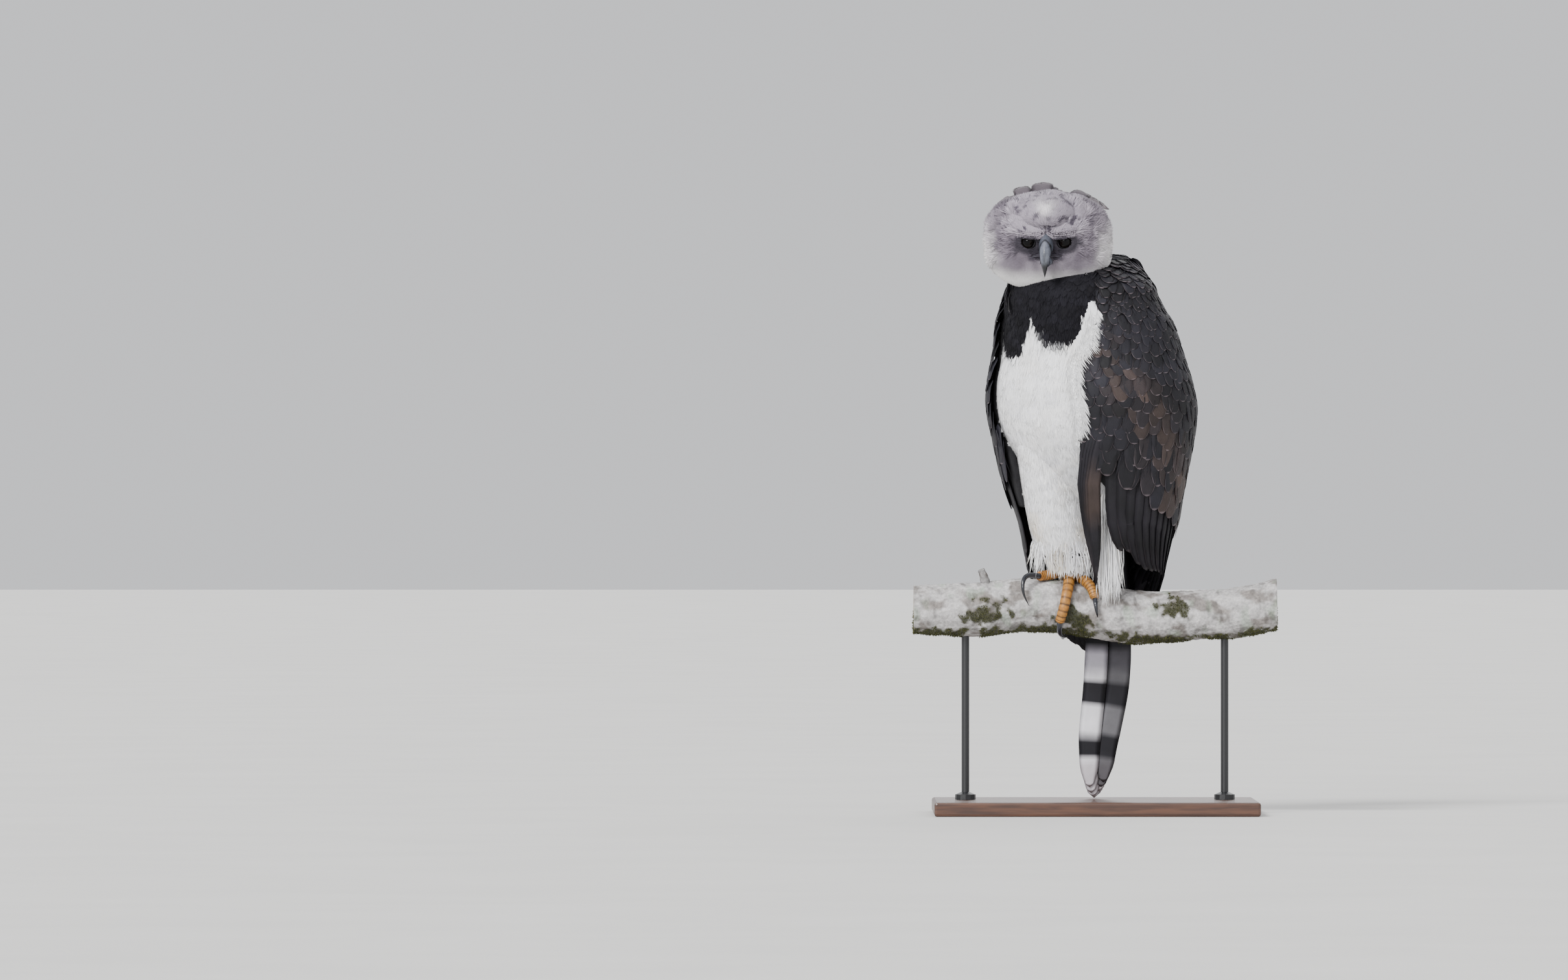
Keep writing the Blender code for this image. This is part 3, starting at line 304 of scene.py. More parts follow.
def noise(points: Array, size: float, seed: int = 0) -> Array:
    """Smooth seeded variation over space, from a few crossed waves.

    Args:
        points: places, one a row.
        size: the width of a patch in metres.
        seed: chooses another pattern.

    Returns:
        Values from about -1 to 1.
    """
    waves = np.random.default_rng(seed + 71)
    total = np.zeros(points.shape[:-1])
    for k in range(7):
        way = unit(waves.normal(size=3)) * (2 * math.pi / size) * (0.55 + 0.22 * k)
        bend = unit(waves.normal(size=3)) * (2 * math.pi / size) * 0.6
        total += np.sin(points @ way + waves.uniform(0, 6.3) + 1.3 * np.sin(points @ bend + k)) / (1 + 0.25 * k)
    return total / 2.6


class Surface:
    """A part of the body's surface, read at a place across it and a place along the lie of its feathers."""

    step = (0.4, 0.0015)
    span = ((0.0, 360.0), (0.0, 1.0))
    profile: Profile

    def base(self, a: Array, b: Array) -> Array:
        """Points of the bare surface."""
        raise NotImplementedError

    def middle(self, a: Array, b: Array) -> Array:
        """Points on the axis inside the body, which tell the surface's outside."""
        a, b = np.broadcast_arrays(a, b)
        row = self.profile.at(b)
        return np.stack((row[..., 0], row[..., 1], b), -1)

    def frame(self, a: Array, b: Array) -> Triple:
        """The surface at some places.

        Args:
            a: places across it.
            b: places along it.

        Returns:
            Points, outward normals and the directions in which the feathers lie.
        """
        a, b = np.asarray(a, float), np.asarray(b, float)
        point = self.base(a, b)
        across = self.base(a + self.step[0], b) - self.base(a - self.step[0], b)
        lie = self.lie(a, b)
        normal = unit(np.cross(across, lie))
        flip = np.sign(np.sum(normal * (point - self.middle(a, b)), -1, keepdims=True))
        normal = normal * np.where(flip == 0, 1, flip)
        return point, normal, lie

    def lie(self, a: Array, b: Array) -> Array:
        """The direction in which feathers lie, along the surface."""
        return unit(self.base(a, b - self.step[1]) - self.base(a, b + self.step[1]))

    def tile(self, a: Array, b: Array) -> Array:
        """The place on the skin's unwrap, from 0 to 1 both ways."""
        (a0, a1), (b0, b1) = self.span
        return np.stack(((np.asarray(a) - a0) / (a1 - a0), (np.asarray(b) - b0) / (b1 - b0)), -1)


class Breast(Surface):
    """The body between the wings, by degrees towards the bird's left from its front and by height."""

    span = ((-180.0, 180.0), (0.42, 0.87))
    profile = Profile(TORSO)

    def base(self, a: Array, b: Array) -> Array:
        """Points of the bare surface."""
        a, b = np.broadcast_arrays(np.radians(a), b)
        row = self.profile.at(b)
        depth = np.where(np.cos(a) > 0, row[..., 2], row[..., 3])
        flat = LEFT * (row[..., 1] * np.sin(a))[..., None] + AHEAD * (row[..., 0] + depth * np.cos(a))[..., None]
        return flat + UP * b[..., None]

    def middle(self, a: Array, b: Array) -> Array:
        """Points on the body's axis."""
        a, b = np.broadcast_arrays(a, b)
        return AHEAD * self.profile.at(b)[..., :1] + UP * b[..., None]


class Column(Surface):
    """A feathered leg or neck, by degrees round it from +X and by height."""

    def __init__(self, rows: Table) -> None:
        self.profile = Profile(rows)
        self.span = ((0.0, 360.0), (rows[0][0] - 0.01, rows[-1][0] + 0.01))

    def base(self, a: Array, b: Array) -> Array:
        """Points of the bare surface."""
        a, b = np.broadcast_arrays(np.radians(a), b)
        row = self.profile.at(b)
        return np.stack((row[..., 0] + row[..., 2] * np.cos(a), row[..., 1] + row[..., 3] * np.sin(a), b), -1)


class FoldedWing(Surface):
    """The outside of a folded wing, by degrees round the body from its front and by height."""

    span = ((0.0, 180.0), (0.22, 0.83))
    profile = Profile(OUTLINE)

    def __init__(self, side: int) -> None:
        self.side = side
        self.front = Profile(FRONT_LEFT if side > 0 else FRONT_RIGHT)

    def base(self, a: Array, b: Array) -> Array:
        """Points of the bare surface."""
        a, b = np.broadcast_arrays(np.radians(a), b)
        row = self.profile.at(b)
        turned = np.radians(row[..., 4])
        left = np.stack((np.cos(turned), -np.sin(turned), 0 * turned), -1) * self.side
        ahead = np.stack((-np.sin(turned), -np.cos(turned), 0 * turned), -1)
        flat = left * (row[..., 2] * np.sin(a))[..., None] + ahead * (row[..., 3] * np.cos(a))[..., None]
        return flat + np.stack((row[..., 0], row[..., 1], b), -1)


class Skull(Surface):
    """The head, by degrees round it from the bird's left and by the place forward of its middle."""

    step = (0.8, 0.0008)
    span = ((0.0, 360.0), (-0.08, 0.06))
    profile = Profile(HEAD)

    def base(self, a: Array, b: Array) -> Array:
        """Points of the bare surface, the dome of the forehead with it."""
        a, b = np.broadcast_arrays(np.radians(a), b)
        row = self.profile.at(b)
        cosine, sine = np.cos(a), np.sin(a)
        power = np.where(sine > 0, CROWN_SQUARENESS, JAW_SQUARENESS)
        rim = (np.abs(cosine) ** power + np.abs(sine) ** power) ** (-1 / power)
        tall = np.where(sine > 0, row[..., 1], row[..., 2])
        right, up = row[..., 0] * rim * cosine, tall * rim * sine
        return face(right, b, self.domed(right, b, up))

    def domed(self, right: Array, forward: Array, up: Array) -> Array:
        """Heights lifted to the forehead's dome where that stands higher."""
        ahead = (forward - FOREHEAD_AT[1]) / FOREHEAD_SIZE[1]
        aside = right / FOREHEAD_SIZE[0]
        room = np.clip(1 - ahead ** 2 - aside ** 2, 0, 1)
        dome = FOREHEAD_AT[2] + FOREHEAD_SIZE[2] * np.sqrt(room)
        return np.where((up > 0.03) & (room > 0), np.maximum(up, dome), up)

    def middle(self, a: Array, b: Array) -> Array:
        """Points on the head's axis."""
        a, b = np.broadcast_arrays(a, b)
        return face(0 * b, b, 0 * b)


class Cut(Enum):
    """Cross-sections of a feather: the place across, the crown and the depth of each point round it."""

    BLADE = ((-1, 0, 0), (1, 0, 0), (0, 0, 1))
    SOFT = ((-1, 0, 0), (0, 1, 0), (1, 0, 0), (0, 0.4, 1))
    VANE = ((-1, 0, 0), (-0.5, 0.8, 0), (0, 1, 0), (0.5, 0.8, 0), (1, 0, 0), (0, 0.6, 1))


@dataclass(frozen=True)
class Shape:
    """How a feather runs from root to tip: shares of its length, widths and heights over the skin."""

    along: tuple[float, ...]
    width: tuple[float, ...]
    lift: tuple[float, ...]
    cut: Cut = Cut.SOFT
    crown: float = 0.1
    thickness: float = 0.0006

    @property
    def run(self) -> Array:
        """Shares of the length at each station and the tip."""
        return np.array((*self.along, 1.0))

    def standing(self, spot: Array, out: Array, step: Array, low: float, rise: float) -> Pair:
        """A path from a spot along a step, lifted off at its root and more at its tip, with its normals."""
        share = self.run[:, None]
        return spot + step * share + out * (low + rise * share), np.tile(out, (len(share), 1))

    def straight(self, root: Array, tip: Array) -> Array:
        """Straight paths from roots to tips."""
        share = self.run[None, :, None]
        return root[:, None] * (1 - share) + tip[:, None] * share


BROAD = Shape((0.08, 0.34, 0.64, 0.88), (0.62, 1.0, 0.9, 0.46), (-0.0008, 0.0002, 0.0005, 0.0005), Cut.SOFT, 0.02,
              0.0002)
FUZZ = Shape((0.1, 0.55), (0.95, 0.75), (-0.0004, 0.0004), Cut.SOFT, 0.06, 0.0002)
STRAND = Shape((0.1, 0.6), (1.0, 0.8), (-0.0003, 0.0007), Cut.BLADE, 0.0, 0.0003)
SCALE = Shape((0.05, 0.32, 0.56, 0.74, 0.87, 0.95, 0.985), (0.66, 0.95, 1.0, 0.93, 0.74, 0.5, 0.27),
              (-0.004, -0.0006, 0.0005, 0.001, 0.0012, 0.0013, 0.0013),
              Cut.VANE, 0.03, 0.0003)
QUILL = Shape((0.02, 0.12, 0.3, 0.5, 0.7, 0.86, 0.96), (0.7, 0.95, 1.0, 1.0, 0.9, 0.68, 0.36),
              (0.0,) * 7, Cut.VANE, 0.05, 0.0007)


class Plumage:
    """Feathers gathered as closed solids until they are made one mesh."""

    tile_size = 0.0015

    def __init__(self) -> None:
        self.rows: dict[str, list[Array]] = {name: []
                                             for name in ("point", "tri", "colour", "quill", "tile", "out")}
        self.total = 0

    def add(self, path: Array, normal: Array, half: Array, shape: Shape, tile: Array, colour: Array,
            tilt: float = 0.0, seed: int = 0) -> None:
        """Adds feathers that share one shape.

        Args:
            path: the middle of each feather at each station, then its tip, as (count, stations + 1, 3).
            normal: outward directions of the same layout, or one for all.
            half: half widths, one for each feather or one for all.
            shape: the feather's run and section.
            tile: each root's place on the skin's unwrap, or one for all.
            colour: colours at each station and the tip, in the layout of the path.
            tilt: how much higher one edge stands than the middle, in metres.
            seed: seed of the value that sets each feather apart.
        """
        count, stations = path.shape[0], path.shape[1] - 1
        if count == 0:
            return
        normal, colour = np.broadcast_to(normal, path.shape), np.broadcast_to(colour, path.shape)
        half, tile = np.broadcast_to(half, count), np.broadcast_to(tile, (count, 2))
        section = np.array(shape.cut.value)
        sides = len(section)
        lie = unit(np.gradient(path, axis=1))
        across = unit(np.cross(lie, normal))
        width = half[:, None] * np.array(shape.width)[None, :]
        s, crown, deep = section[:, 0], section[:, 1], section[:, 2]
        body = path[:, :stations, None] + across[:, :stations, None] * (width[..., None] * s)[..., None]
        up = crown * shape.crown * width[..., None] - deep * shape.thickness + tilt * s
        body = body + normal[:, :stations, None] * up[..., None]
        root = path[:, :1] - lie[:, :1] * (half * 0.4)[:, None, None]
        rows = np.concatenate((root, body.reshape(count, stations * sides, 3), path[:, -1:]), 1)
        share = np.repeat(np.array(shape.along), sides)
        quill = np.zeros((count, rows.shape[1], 3))
        quill[:, 1:-1, 0] = np.tile(s, stations)
        quill[:, 1:-1, 1] = share
        quill[:, -1, 1] = 1.0
        quill[..., 2] = np.random.default_rng(seed + 5).uniform(size=(count, 1))
        patch = tile[:, None] + self.tile_size * np.stack((quill[..., 0], 2 * quill[..., 1] - 1), -1)
        starts = self.total + np.arange(count) * rows.shape[1]
        self.rows["tri"].append((self.weave(stations, sides)[None] + starts[:, None, None]).reshape(-1, 3))
        self.rows["tile"].append(np.clip(patch, 0.001, 0.999).reshape(-1, 2))
        for name, values in (("point", rows), ("quill", quill), ("colour", self.repeated(colour, sides)),
                             ("out", self.repeated(normal, sides))):
            self.rows[name].append(values.reshape(-1, 3))
        self.total += count * rows.shape[1]

    @staticmethod
    def repeated(rows: Array, sides: int) -> Array:
        """Values of the stations and the tip, for each point of the feathers."""
        return np.concatenate((rows[:, :1], np.repeat(rows[:, :-1], sides, axis=1), rows[:, -1:]), 1)

    @staticmethod
    def weave(stations: int, sides: int) -> Array:
        """The triangles of one feather, with its root as point 0 and its tip last."""
        tris = []
        last = 1 + stations * sides
        for k in range(sides):
            after = (k + 1) % sides
            tris.append((0, 1 + k, 1 + after))
            for row in range(stations - 1):
                a, b = 1 + row * sides + k, 1 + row * sides + after
                tris.append((a, a + sides, b + sides))
                tris.append((a, b + sides, b))
            low = 1 + (stations - 1) * sides
            tris.append((low + k, last, low + after))
        return np.array(tris)

    def make(self, name: str, finish: Material, soft: float = 0.0) -> Piece:
        """Turns the gathered feathers into one object.

        Args:
            name: the object's name.
            finish: its material.
            soft: how far the feathers are lit as one surface instead of one by one, 0 to 1.

        Returns:
            The object.
        """
        rows = {kind: np.concatenate(found) for kind, found in self.rows.items()}
        points, tris = rows["point"], rows["tri"]
        obj = solid(name, points, tris, finish)
        if soft > 0:
            own = np.empty((len(points), 3), np.float32)
            obj.data.vertex_normals.foreach_get("vector", own.ravel())
            lit = unit(soft * rows["out"] + (1 - soft) * own)
            obj.data.normals_split_custom_set_from_vertices(lit.tolist())
        paint(obj, "plume", rows["colour"])
        quill = obj.data.attributes.new("quill", "FLOAT_VECTOR", "POINT")
        quill.data.foreach_set("vector", rows["quill"].astype(np.float32).ravel())
        unwrap = obj.data.uv_layers.new(name="OFBake")
        unwrap.data.foreach_set("uv", rows["tile"][tris.ravel()].astype(np.float32).ravel())
        log.info("%s: %d triangles", name, len(tris))
        return obj


def solid(name: str, points: Array, tris: Array, finish: Material) -> Piece:
    """An object from points and triangles or quads, its faces turned outwards.

    Args:
        name: the object's name.
        points: one a row.
        tris: indices, three or four a row.
        finish: its material.

    Returns:
        The linked object.
    """
    mesh = bpy.data.meshes.new(name)
    sides = tris.shape[1]
    mesh.vertices.add(len(points))
    mesh.vertices.foreach_set("co", points.astype(np.float32).ravel())
    mesh.loops.add(tris.size)
    mesh.loops.foreach_set("vertex_index", tris.astype(np.int32).ravel())
    mesh.polygons.add(len(tris))
    mesh.polygons.foreach_set("loop_start", np.arange(0, tris.size, sides, dtype=np.int32))
    mesh.update(calc_edges=True)
    mesh.validate()
    mesh.shade_smooth()
    shape = bmesh.new()
    shape.from_mesh(mesh)
    bmesh.ops.recalc_face_normals(shape, faces=shape.faces)
    shape.to_mesh(mesh)
    shape.free()
    mesh.materials.append(finish)
    obj = bpy.data.objects.new(name, mesh)
    bpy.context.scene.collection.objects.link(obj)
    return obj


def paint(obj: Piece, name: str, colours: Array) -> None:
    """Writes a colour for each point of a mesh."""
    layer = obj.data.color_attributes.new(name, "FLOAT_COLOR", "POINT")
    rows = np.concatenate((colours, np.ones((len(colours), 1))), 1)
    layer.data.foreach_set("color", rows.astype(np.float32).ravel())


def points_of(obj: Piece) -> Array:
    """The points of a mesh, one a row."""
    rows = np.empty(len(obj.data.vertices) * 3, np.float32)
    obj.data.vertices.foreach_get("co", rows)
    return rows.reshape(-1, 3).astype(float)


def skin_of(rings: Array, poles: Pair) -> Pair:
    """Points and triangles of a closed loft.

    Args:
        rings: points as (rows, sides, 3).
        poles: the point that closes each end.

    Returns:
        Points and triangles.
    """
    rows, sides = rings.shape[:2]
    points = np.concatenate((rings.reshape(-1, 3), np.array(poles)))
    k = np.arange(sides)
    after = (k + 1) % sides
    tris = []
    for row in range(rows - 1):
        a, b = row * sides + k, row * sides + after
        tris += [np.stack((a, b, b + sides), -1), np.stack((a, b + sides, a + sides), -1)]
    low, high = rows * sides, rows * sides + 1
    tris.append(np.stack((k, np.full(sides, low), after), -1))
    last = (rows - 1) * sides
    tris.append(np.stack((last + k, last + after, np.full(sides, high)), -1))
    return points, np.concatenate(tris)


def tube(path: Array, radii: Array, sides: int) -> Pair:
    """A round closed body along a path, its last point a tip.

    Args:
        path: points, one a row.
        radii: a radius for each.
        sides: points round it.

    Returns:
        Points and triangles.
    """
    along = unit(np.gradient(path, axis=0))
    across = np.zeros_like(path)
    across[0] = unit(np.cross(along[0], (0.3, 0.2, 1.0)))
    for k in range(1, len(path)):
        across[k] = unit(across[k - 1] - along[k] * np.dot(across[k - 1], along[k]))
    turns = np.linspace(0, 2 * math.pi, sides, endpoint=False)
    other = np.cross(along, across)
    rings = path[:-1, None] + radii[:-1, None, None] * (
        across[:-1, None] * np.cos(turns)[None, :, None] + other[:-1, None] * np.sin(turns)[None, :, None])
    start = path[0] - along[0] * radii[0] * 0.4
    return skin_of(rings, (start, path[-1]))


def roll(path: Array, radius: float, places: Sequence[float], swell: Sequence[float], sides: int,
         code: str) -> Triple:
    """A tube of one colour that swells along its path: points, triangles and colours."""
    points, tris = tube(path, radius * np.interp(np.linspace(0, 1, len(path)), places, swell), sides)
    return points, tris, np.tile(ink(code), (len(points), 1))


def joined(parts: list[Pair]) -> Pair:
    """Points and triangles of several closed bodies as one list."""
    starts = np.cumsum([0] + [len(points) for points, _ in parts])
    return (np.concatenate([points for points, _ in parts]),
            np.concatenate([tris + start for (_, tris), start in zip(parts, starts)]))


def flow(surface: Surface, a: Array, b: Array, length: Array, shape: Shape, turn: Array = 0.0,
         out: Array = 0.0) -> Pair:
    """Feather paths that follow a surface from their roots.

    Args:
        surface: what they lie on.
        a: places of the roots across it.
        b: places of the roots along it.
        length: lengths in metres.
        shape: gives the stations and the heights over the surface.
        turn: how far they lean aside, in metres for each metre.
        out: extra height over the surface at the tip.

    Returns:
        Paths and normals, as (count, stations + 1, 3).
    """
    lifts = (*shape.lift, shape.lift[-1])
    a, b = np.array(a, float), np.array(b, float)
    paths, normals, gone, dense = [], [], 0.0, surface.step
    for share, lift in zip(shape.run, lifts):
        here = surface.base(a, b)
        down, aside = surface.base(a, b - dense[1]) - here, surface.base(a + dense[0], b) - here
        step = length * (share - gone)
        b = b - step * (dense[1] / np.maximum(np.linalg.norm(down, axis=-1), 1e-6))
        a = a + step * turn * (dense[0] / np.maximum(np.linalg.norm(aside, axis=-1), 1e-6))
        gone = share
        point, normal, _ = surface.frame(a, b)
        paths.append(point + normal * np.reshape(lift + out * share, (-1, 1)))
        normals.append(normal)
    return np.stack(paths, 1), np.stack(normals, 1)


JITTER = 0.25


def metres_along(line: Array) -> Array:
    """How far along a line each of its points lies."""
    return np.concatenate(([0], np.cumsum(np.linalg.norm(np.diff(line, axis=0), axis=-1))))


def rows_on(surface: Surface, a_range: tuple[float, float], b_range: tuple[float, float], pitch: float, row: float,
            seed: int) -> Pair:
    """Staggered places evenly spaced over part of a surface.

    Args:
        surface: the surface.
        a_range: first and last place across.
        b_range: lowest and highest place along.
        pitch: metres between places in a row.
        row: metres between rows.
        seed: seed of the small shifts.

    Returns:
        The places across and along.
    """
    dice = np.random.default_rng(seed)
    fine = np.linspace(*a_range, 181)
    levels = np.linspace(*b_range, 121)
    centre = np.full_like(levels, (a_range[0] + a_range[1]) / 2)
    run = metres_along(surface.base(centre, levels))
    found_a, found_b = [], []
    for k, at in enumerate(np.arange(0, run[-1], row)):
        b = np.interp(at, run, levels)
        line = surface.base(fine, np.full_like(fine, b))
        arc = metres_along(line)
        count = max(int(arc[-1] / pitch), 1)
        spots = (np.arange(count) + 0.5 * (k % 2) + 0.25 + dice.uniform(-JITTER, JITTER, count)) * arc[-1] / count
        found_a.append(np.interp(spots, arc, fine))
        found_b.append(np.interp(at + dice.uniform(-JITTER, JITTER, count) * row, run, levels))
    return np.concatenate(found_a), np.concatenate(found_b)


def add(tree: Tree, kind: str, settings: Optional[dict] = None, **links: object) -> Node:
    """Adds a node with its settings and links.

    Args:
        tree: the tree.
        kind: the node's type.
        settings: attributes of the node.
        links: sockets by name or s-number, each a value or an output socket to join.

    Returns:
        The node.
    """
    node = tree.nodes.new(kind)
    for key, value in (settings or {}).items():
        setattr(node, key, value)
    for key, value in links.items():
        numbered = key[0] == "s" and key[1:].isdigit()
        socket = node.inputs[int(key[1:]) if numbered else key.replace("_", " ")]
        if isinstance(value, Socket):
            tree.links.new(value, socket)
        else:
            socket.default_value = value
    return node


def sums(tree: Tree, operation: str, *values: object) -> Socket:
    """The outcome of a maths node."""
    node = add(tree, "ShaderNodeMath", {"operation": operation},
               **{f"s{k}": value for k, value in enumerate(values)})
    return node.outputs[0]


def ranged(tree: Tree, value: Socket, *limits: float) -> Socket:
    """A value moved from one range, low and high, to another, from 0 to 1 where that isn't given."""
    return add(tree, "ShaderNodeMapRange", s0=value,
               **{f"s{k + 1}": limit for k, limit in enumerate(limits)}).outputs[0]


def specks(tree: Tree, scale: float, detail: float, **more: object) -> Socket:
    """Noise over the piece's own place, that many patches to a metre."""
    place = add(tree, "ShaderNodeTexCoord").outputs["Object"]
    return add(tree, "ShaderNodeTexNoise", Vector=place, Scale=scale, Detail=detail, **more).outputs[0]


def blend(tree: Tree, share: Socket, first: object, code: str) -> Socket:
    """A colour turned by a share towards a hex one."""
    node = add(tree, "ShaderNodeMix", {"data_type": "RGBA"}, s0=share, s6=first, s7=(*linear(code), 1))
    return node.outputs[2]


@dataclass(frozen=True)
class Finish:
    """What every finish shares: its name and the numbers on its shader's own sockets."""

    name: str
    roughness: float
    sheen: float = 0.0
    coat: float = 0.0
    ior: float = 1.5
    specular: float = 0.5

    def start(self) -> tuple[Material, Tree, Node]:
        """A new material with its constant sockets set."""
        made = bpy.data.materials.new(self.name)
        made.use_nodes = True
        shader = made.node_tree.nodes["Principled BSDF"]
        values = {"Roughness": self.roughness, "Sheen Weight": self.sheen, "Coat Weight": self.coat,
                  "Specular IOR Level": self.specular, "IOR": self.ior}
        for socket, value in values.items():
            shader.inputs[socket].default_value = value
        return made, made.node_tree, shader

    def finished(self, tree: Tree, shader: Node, colour: Socket,
                 height: Socket, depth: float) -> None:
        """Joins a colour and a relief of some depth in metres to the shader."""
        tree.links.new(colour, shader.inputs["Base Color"])
        bump = add(tree, "ShaderNodeBump", Strength=0.6, Distance=depth, Height=height)
        tree.links.new(bump.outputs[0], shader.inputs["Normal"])

    @staticmethod
    def painted(tree: Tree, light: Socket) -> Socket:
        """The colour that the mesh holds, made lighter or darker."""
        plume = add(tree, "ShaderNodeAttribute", {"attribute_name": "plume"})
        return add(tree, "ShaderNodeVectorMath", {"operation": "SCALE"}, s0=plume.outputs["Color"],
                   Scale=light).outputs[0]


@dataclass(frozen=True)
class FeatherFinish(Finish):
    """Feather: barbs in fine lines off a shaft, matt, with a pale worn edge where the bird shows one."""

    edge: str = "8d7f84"
    edge_share: float = 0.0
    barb: float = 0.12
    barbs: float = 26.0
    slant: float = -0.35

    def make(self) -> Material:
        """Builds the material."""
        made, tree, shader = self.start()
        quill = add(tree, "ShaderNodeAttribute", {"attribute_name": "quill"})
        split = add(tree, "ShaderNodeSeparateXYZ", Vector=quill.outputs["Vector"])
        side, along, apart = split.outputs
        across = sums(tree, "ABSOLUTE", side)
        slant = sums(tree, "MULTIPLY_ADD", across, self.slant, along)
        place = sums(tree, "MULTIPLY_ADD", apart, 7.0, slant)
        lines = add(tree, "ShaderNodeTexNoise", {"noise_dimensions": "1D"}, W=place, Scale=self.barbs, Detail=2.0)
        lines = lines.outputs[0]
        both = sums(tree, "ADD", lines, specks(tree, 60.0, 3.0))
        colour = self.painted(tree, ranged(tree, both, 0.6, 1.4, 1 - self.barb, 1 + self.barb))
        if self.edge_share > 0:
            rim = sums(tree, "MULTIPLY", ranged(tree, across, 0.86, 0.97), ranged(tree, along, 0.62, 0.85))
            most = sums(tree, "MAXIMUM", rim, ranged(tree, along, 0.945, 0.975))
            worn = sums(tree, "MULTIPLY", most, ranged(tree, apart, 0.0, 1.0, 0.25, 1.0))
            colour = blend(tree, sums(tree, "MULTIPLY", worn, self.edge_share), colour, self.edge)
        self.finished(tree, shader, colour, lines, 0.0003)
        return made


@dataclass(frozen=True)
class HornFinish(Finish):
    """Horn: smooth keratin with a soft gloss, fine growth lines and wear, darker where it thickens."""

    scale: float = 400.0

    def make(self) -> Material:
        """Builds the material."""
        made, tree, shader = self.start()
        flecks = specks(tree, self.scale, 4.0)
        colour = self.painted(tree, ranged(tree, flecks, 0.3, 0.7, 0.8, 1.18))
        self.finished(tree, shader, colour, flecks, 0.00025)
        return made


@dataclass(frozen=True)
class ScaleFinish(Finish):
    """Foot skin: waxy scales, each a raised cell with a dark groove round it, orange yellow and worn."""

    cell: float = 0.0015

    def make(self) -> Material:
        """Builds the material."""
        made, tree, shader = self.start()
        place = add(tree, "ShaderNodeTexCoord").outputs["Object"]
        cells = add(tree, "ShaderNodeTexVoronoi", {"feature": "DISTANCE_TO_EDGE"}, Vector=place,
                    Scale=1 / self.cell)
        groove = ranged(tree, cells.outputs[0], 0.0, 0.12, 0.7, 1.0)
        dirt = ranged(tree, specks(tree, 180.0, 4.0), 0.35, 0.65, 0.72, 1.12)
        colour = self.painted(tree, sums(tree, "MULTIPLY", groove, dirt))
        self.finished(tree, shader, colour, groove, 0.0006)
        return made


@dataclass(frozen=True)
class BarkFinish(Finish):
    """Bark: a dry grey surface under pale crusts of lichen, with green moss in its hollows and below."""

    def make(self) -> Material:
        """Builds the material."""
        made, tree, shader = self.start()
        light = ranged(tree, specks(tree, 55.0, 8.0, Roughness=0.65), 0.34, 0.62, 0.66, 1.12)
        grain = ranged(tree, specks(tree, 230.0, 4.0), 0.35, 0.65, 0.78, 1.12)
        both = sums(tree, "MULTIPLY", light, grain)
        self.finished(tree, shader, self.painted(tree, both), both, 0.0025)
        return made


@dataclass(frozen=True)
class PlainFinish(Finish):
    """A worked surface of one tone with a fine grain, drawn along one axis for wood and even for paint."""

    colour: str = "303030"
    other: str = "383838"
    stretch: tuple[float, float, float] = (1.0, 1.0, 1.0)
    scale: float = 120.0
    relief: float = 0.0002

    def make(self) -> Material:
        """Builds the material."""
        made, tree, shader = self.start()
        place = add(tree, "ShaderNodeTexCoord").outputs["Object"]
        drawn = add(tree, "ShaderNodeMapping", Vector=place, Scale=self.stretch).outputs[0]
        grain = add(tree, "ShaderNodeTexNoise", Vector=drawn, Scale=self.scale, Detail=5.0,
                    Distortion=0.4).outputs[0]
        colour = blend(tree, ranged(tree, grain, 0.35, 0.65), (*linear(self.colour), 1), self.other)
        self.finished(tree, shader, colour, grain, self.relief)
        return made


class Finishes:
    """Every finish on the model, made once."""

    def __init__(self) -> None:
        feather, plain = FeatherFinish, PlainFinish
        self.soft = feather("matt_body_feather", 0.9, sheen=0.1, specular=0.12, barb=0.05, barbs=14.0).make()
        self.dark = feather("matt_black_feather", 0.85, specular=0.18, barb=0.22, barbs=18.0).make()
        self.slate = feather("slate_wing_feather", 0.62, specular=0.28, edge_share=0.42, barb=0.34,
                             barbs=40.0).make()
        self.quill = feather("slate_flight_feather", 0.58, specular=0.28, edge_share=0.2, barb=0.34,
                             barbs=110.0).make()
        self.tail = feather("barred_tail_feather", 0.62, specular=0.25, barb=0.16, barbs=120.0).make()
        self.under = feather("down_on_skin", 0.9, barb=0.15, barbs=3.0).make()
        self.horn = HornFinish("grey_bill_horn", 0.34, coat=0.15).make()
        self.claw = HornFinish("black_claw_horn", 0.25, coat=0.3, scale=700.0).make()
        self.eye = HornFinish("moist_eye", 0.05, ior=1.34, specular=0.3, scale=900.0).make()
        self.foot = ScaleFinish("yellow_foot_scales", 0.45, coat=0.08).make()
        self.bark = BarkFinish("lichened_bark", 0.92).make()
        self.moss = plain("cushion_moss", 0.95, colour="2d3016", other="55562c", scale=300.0).make()
        self.wood = plain("oiled_walnut", 0.42, coat=0.2, colour="3a241a", other="553626",
                          stretch=(1.0, 12.0, 12.0), scale=14.0).make()
        self.steel = plain("black_painted_steel", 0.38, colour="17181a", other="1f2022", scale=900.0).make()
        self.floor = plain("matt_studio_floor", 0.9, colour="d2d1ce", other="d6d5d2", scale=3.0).make()


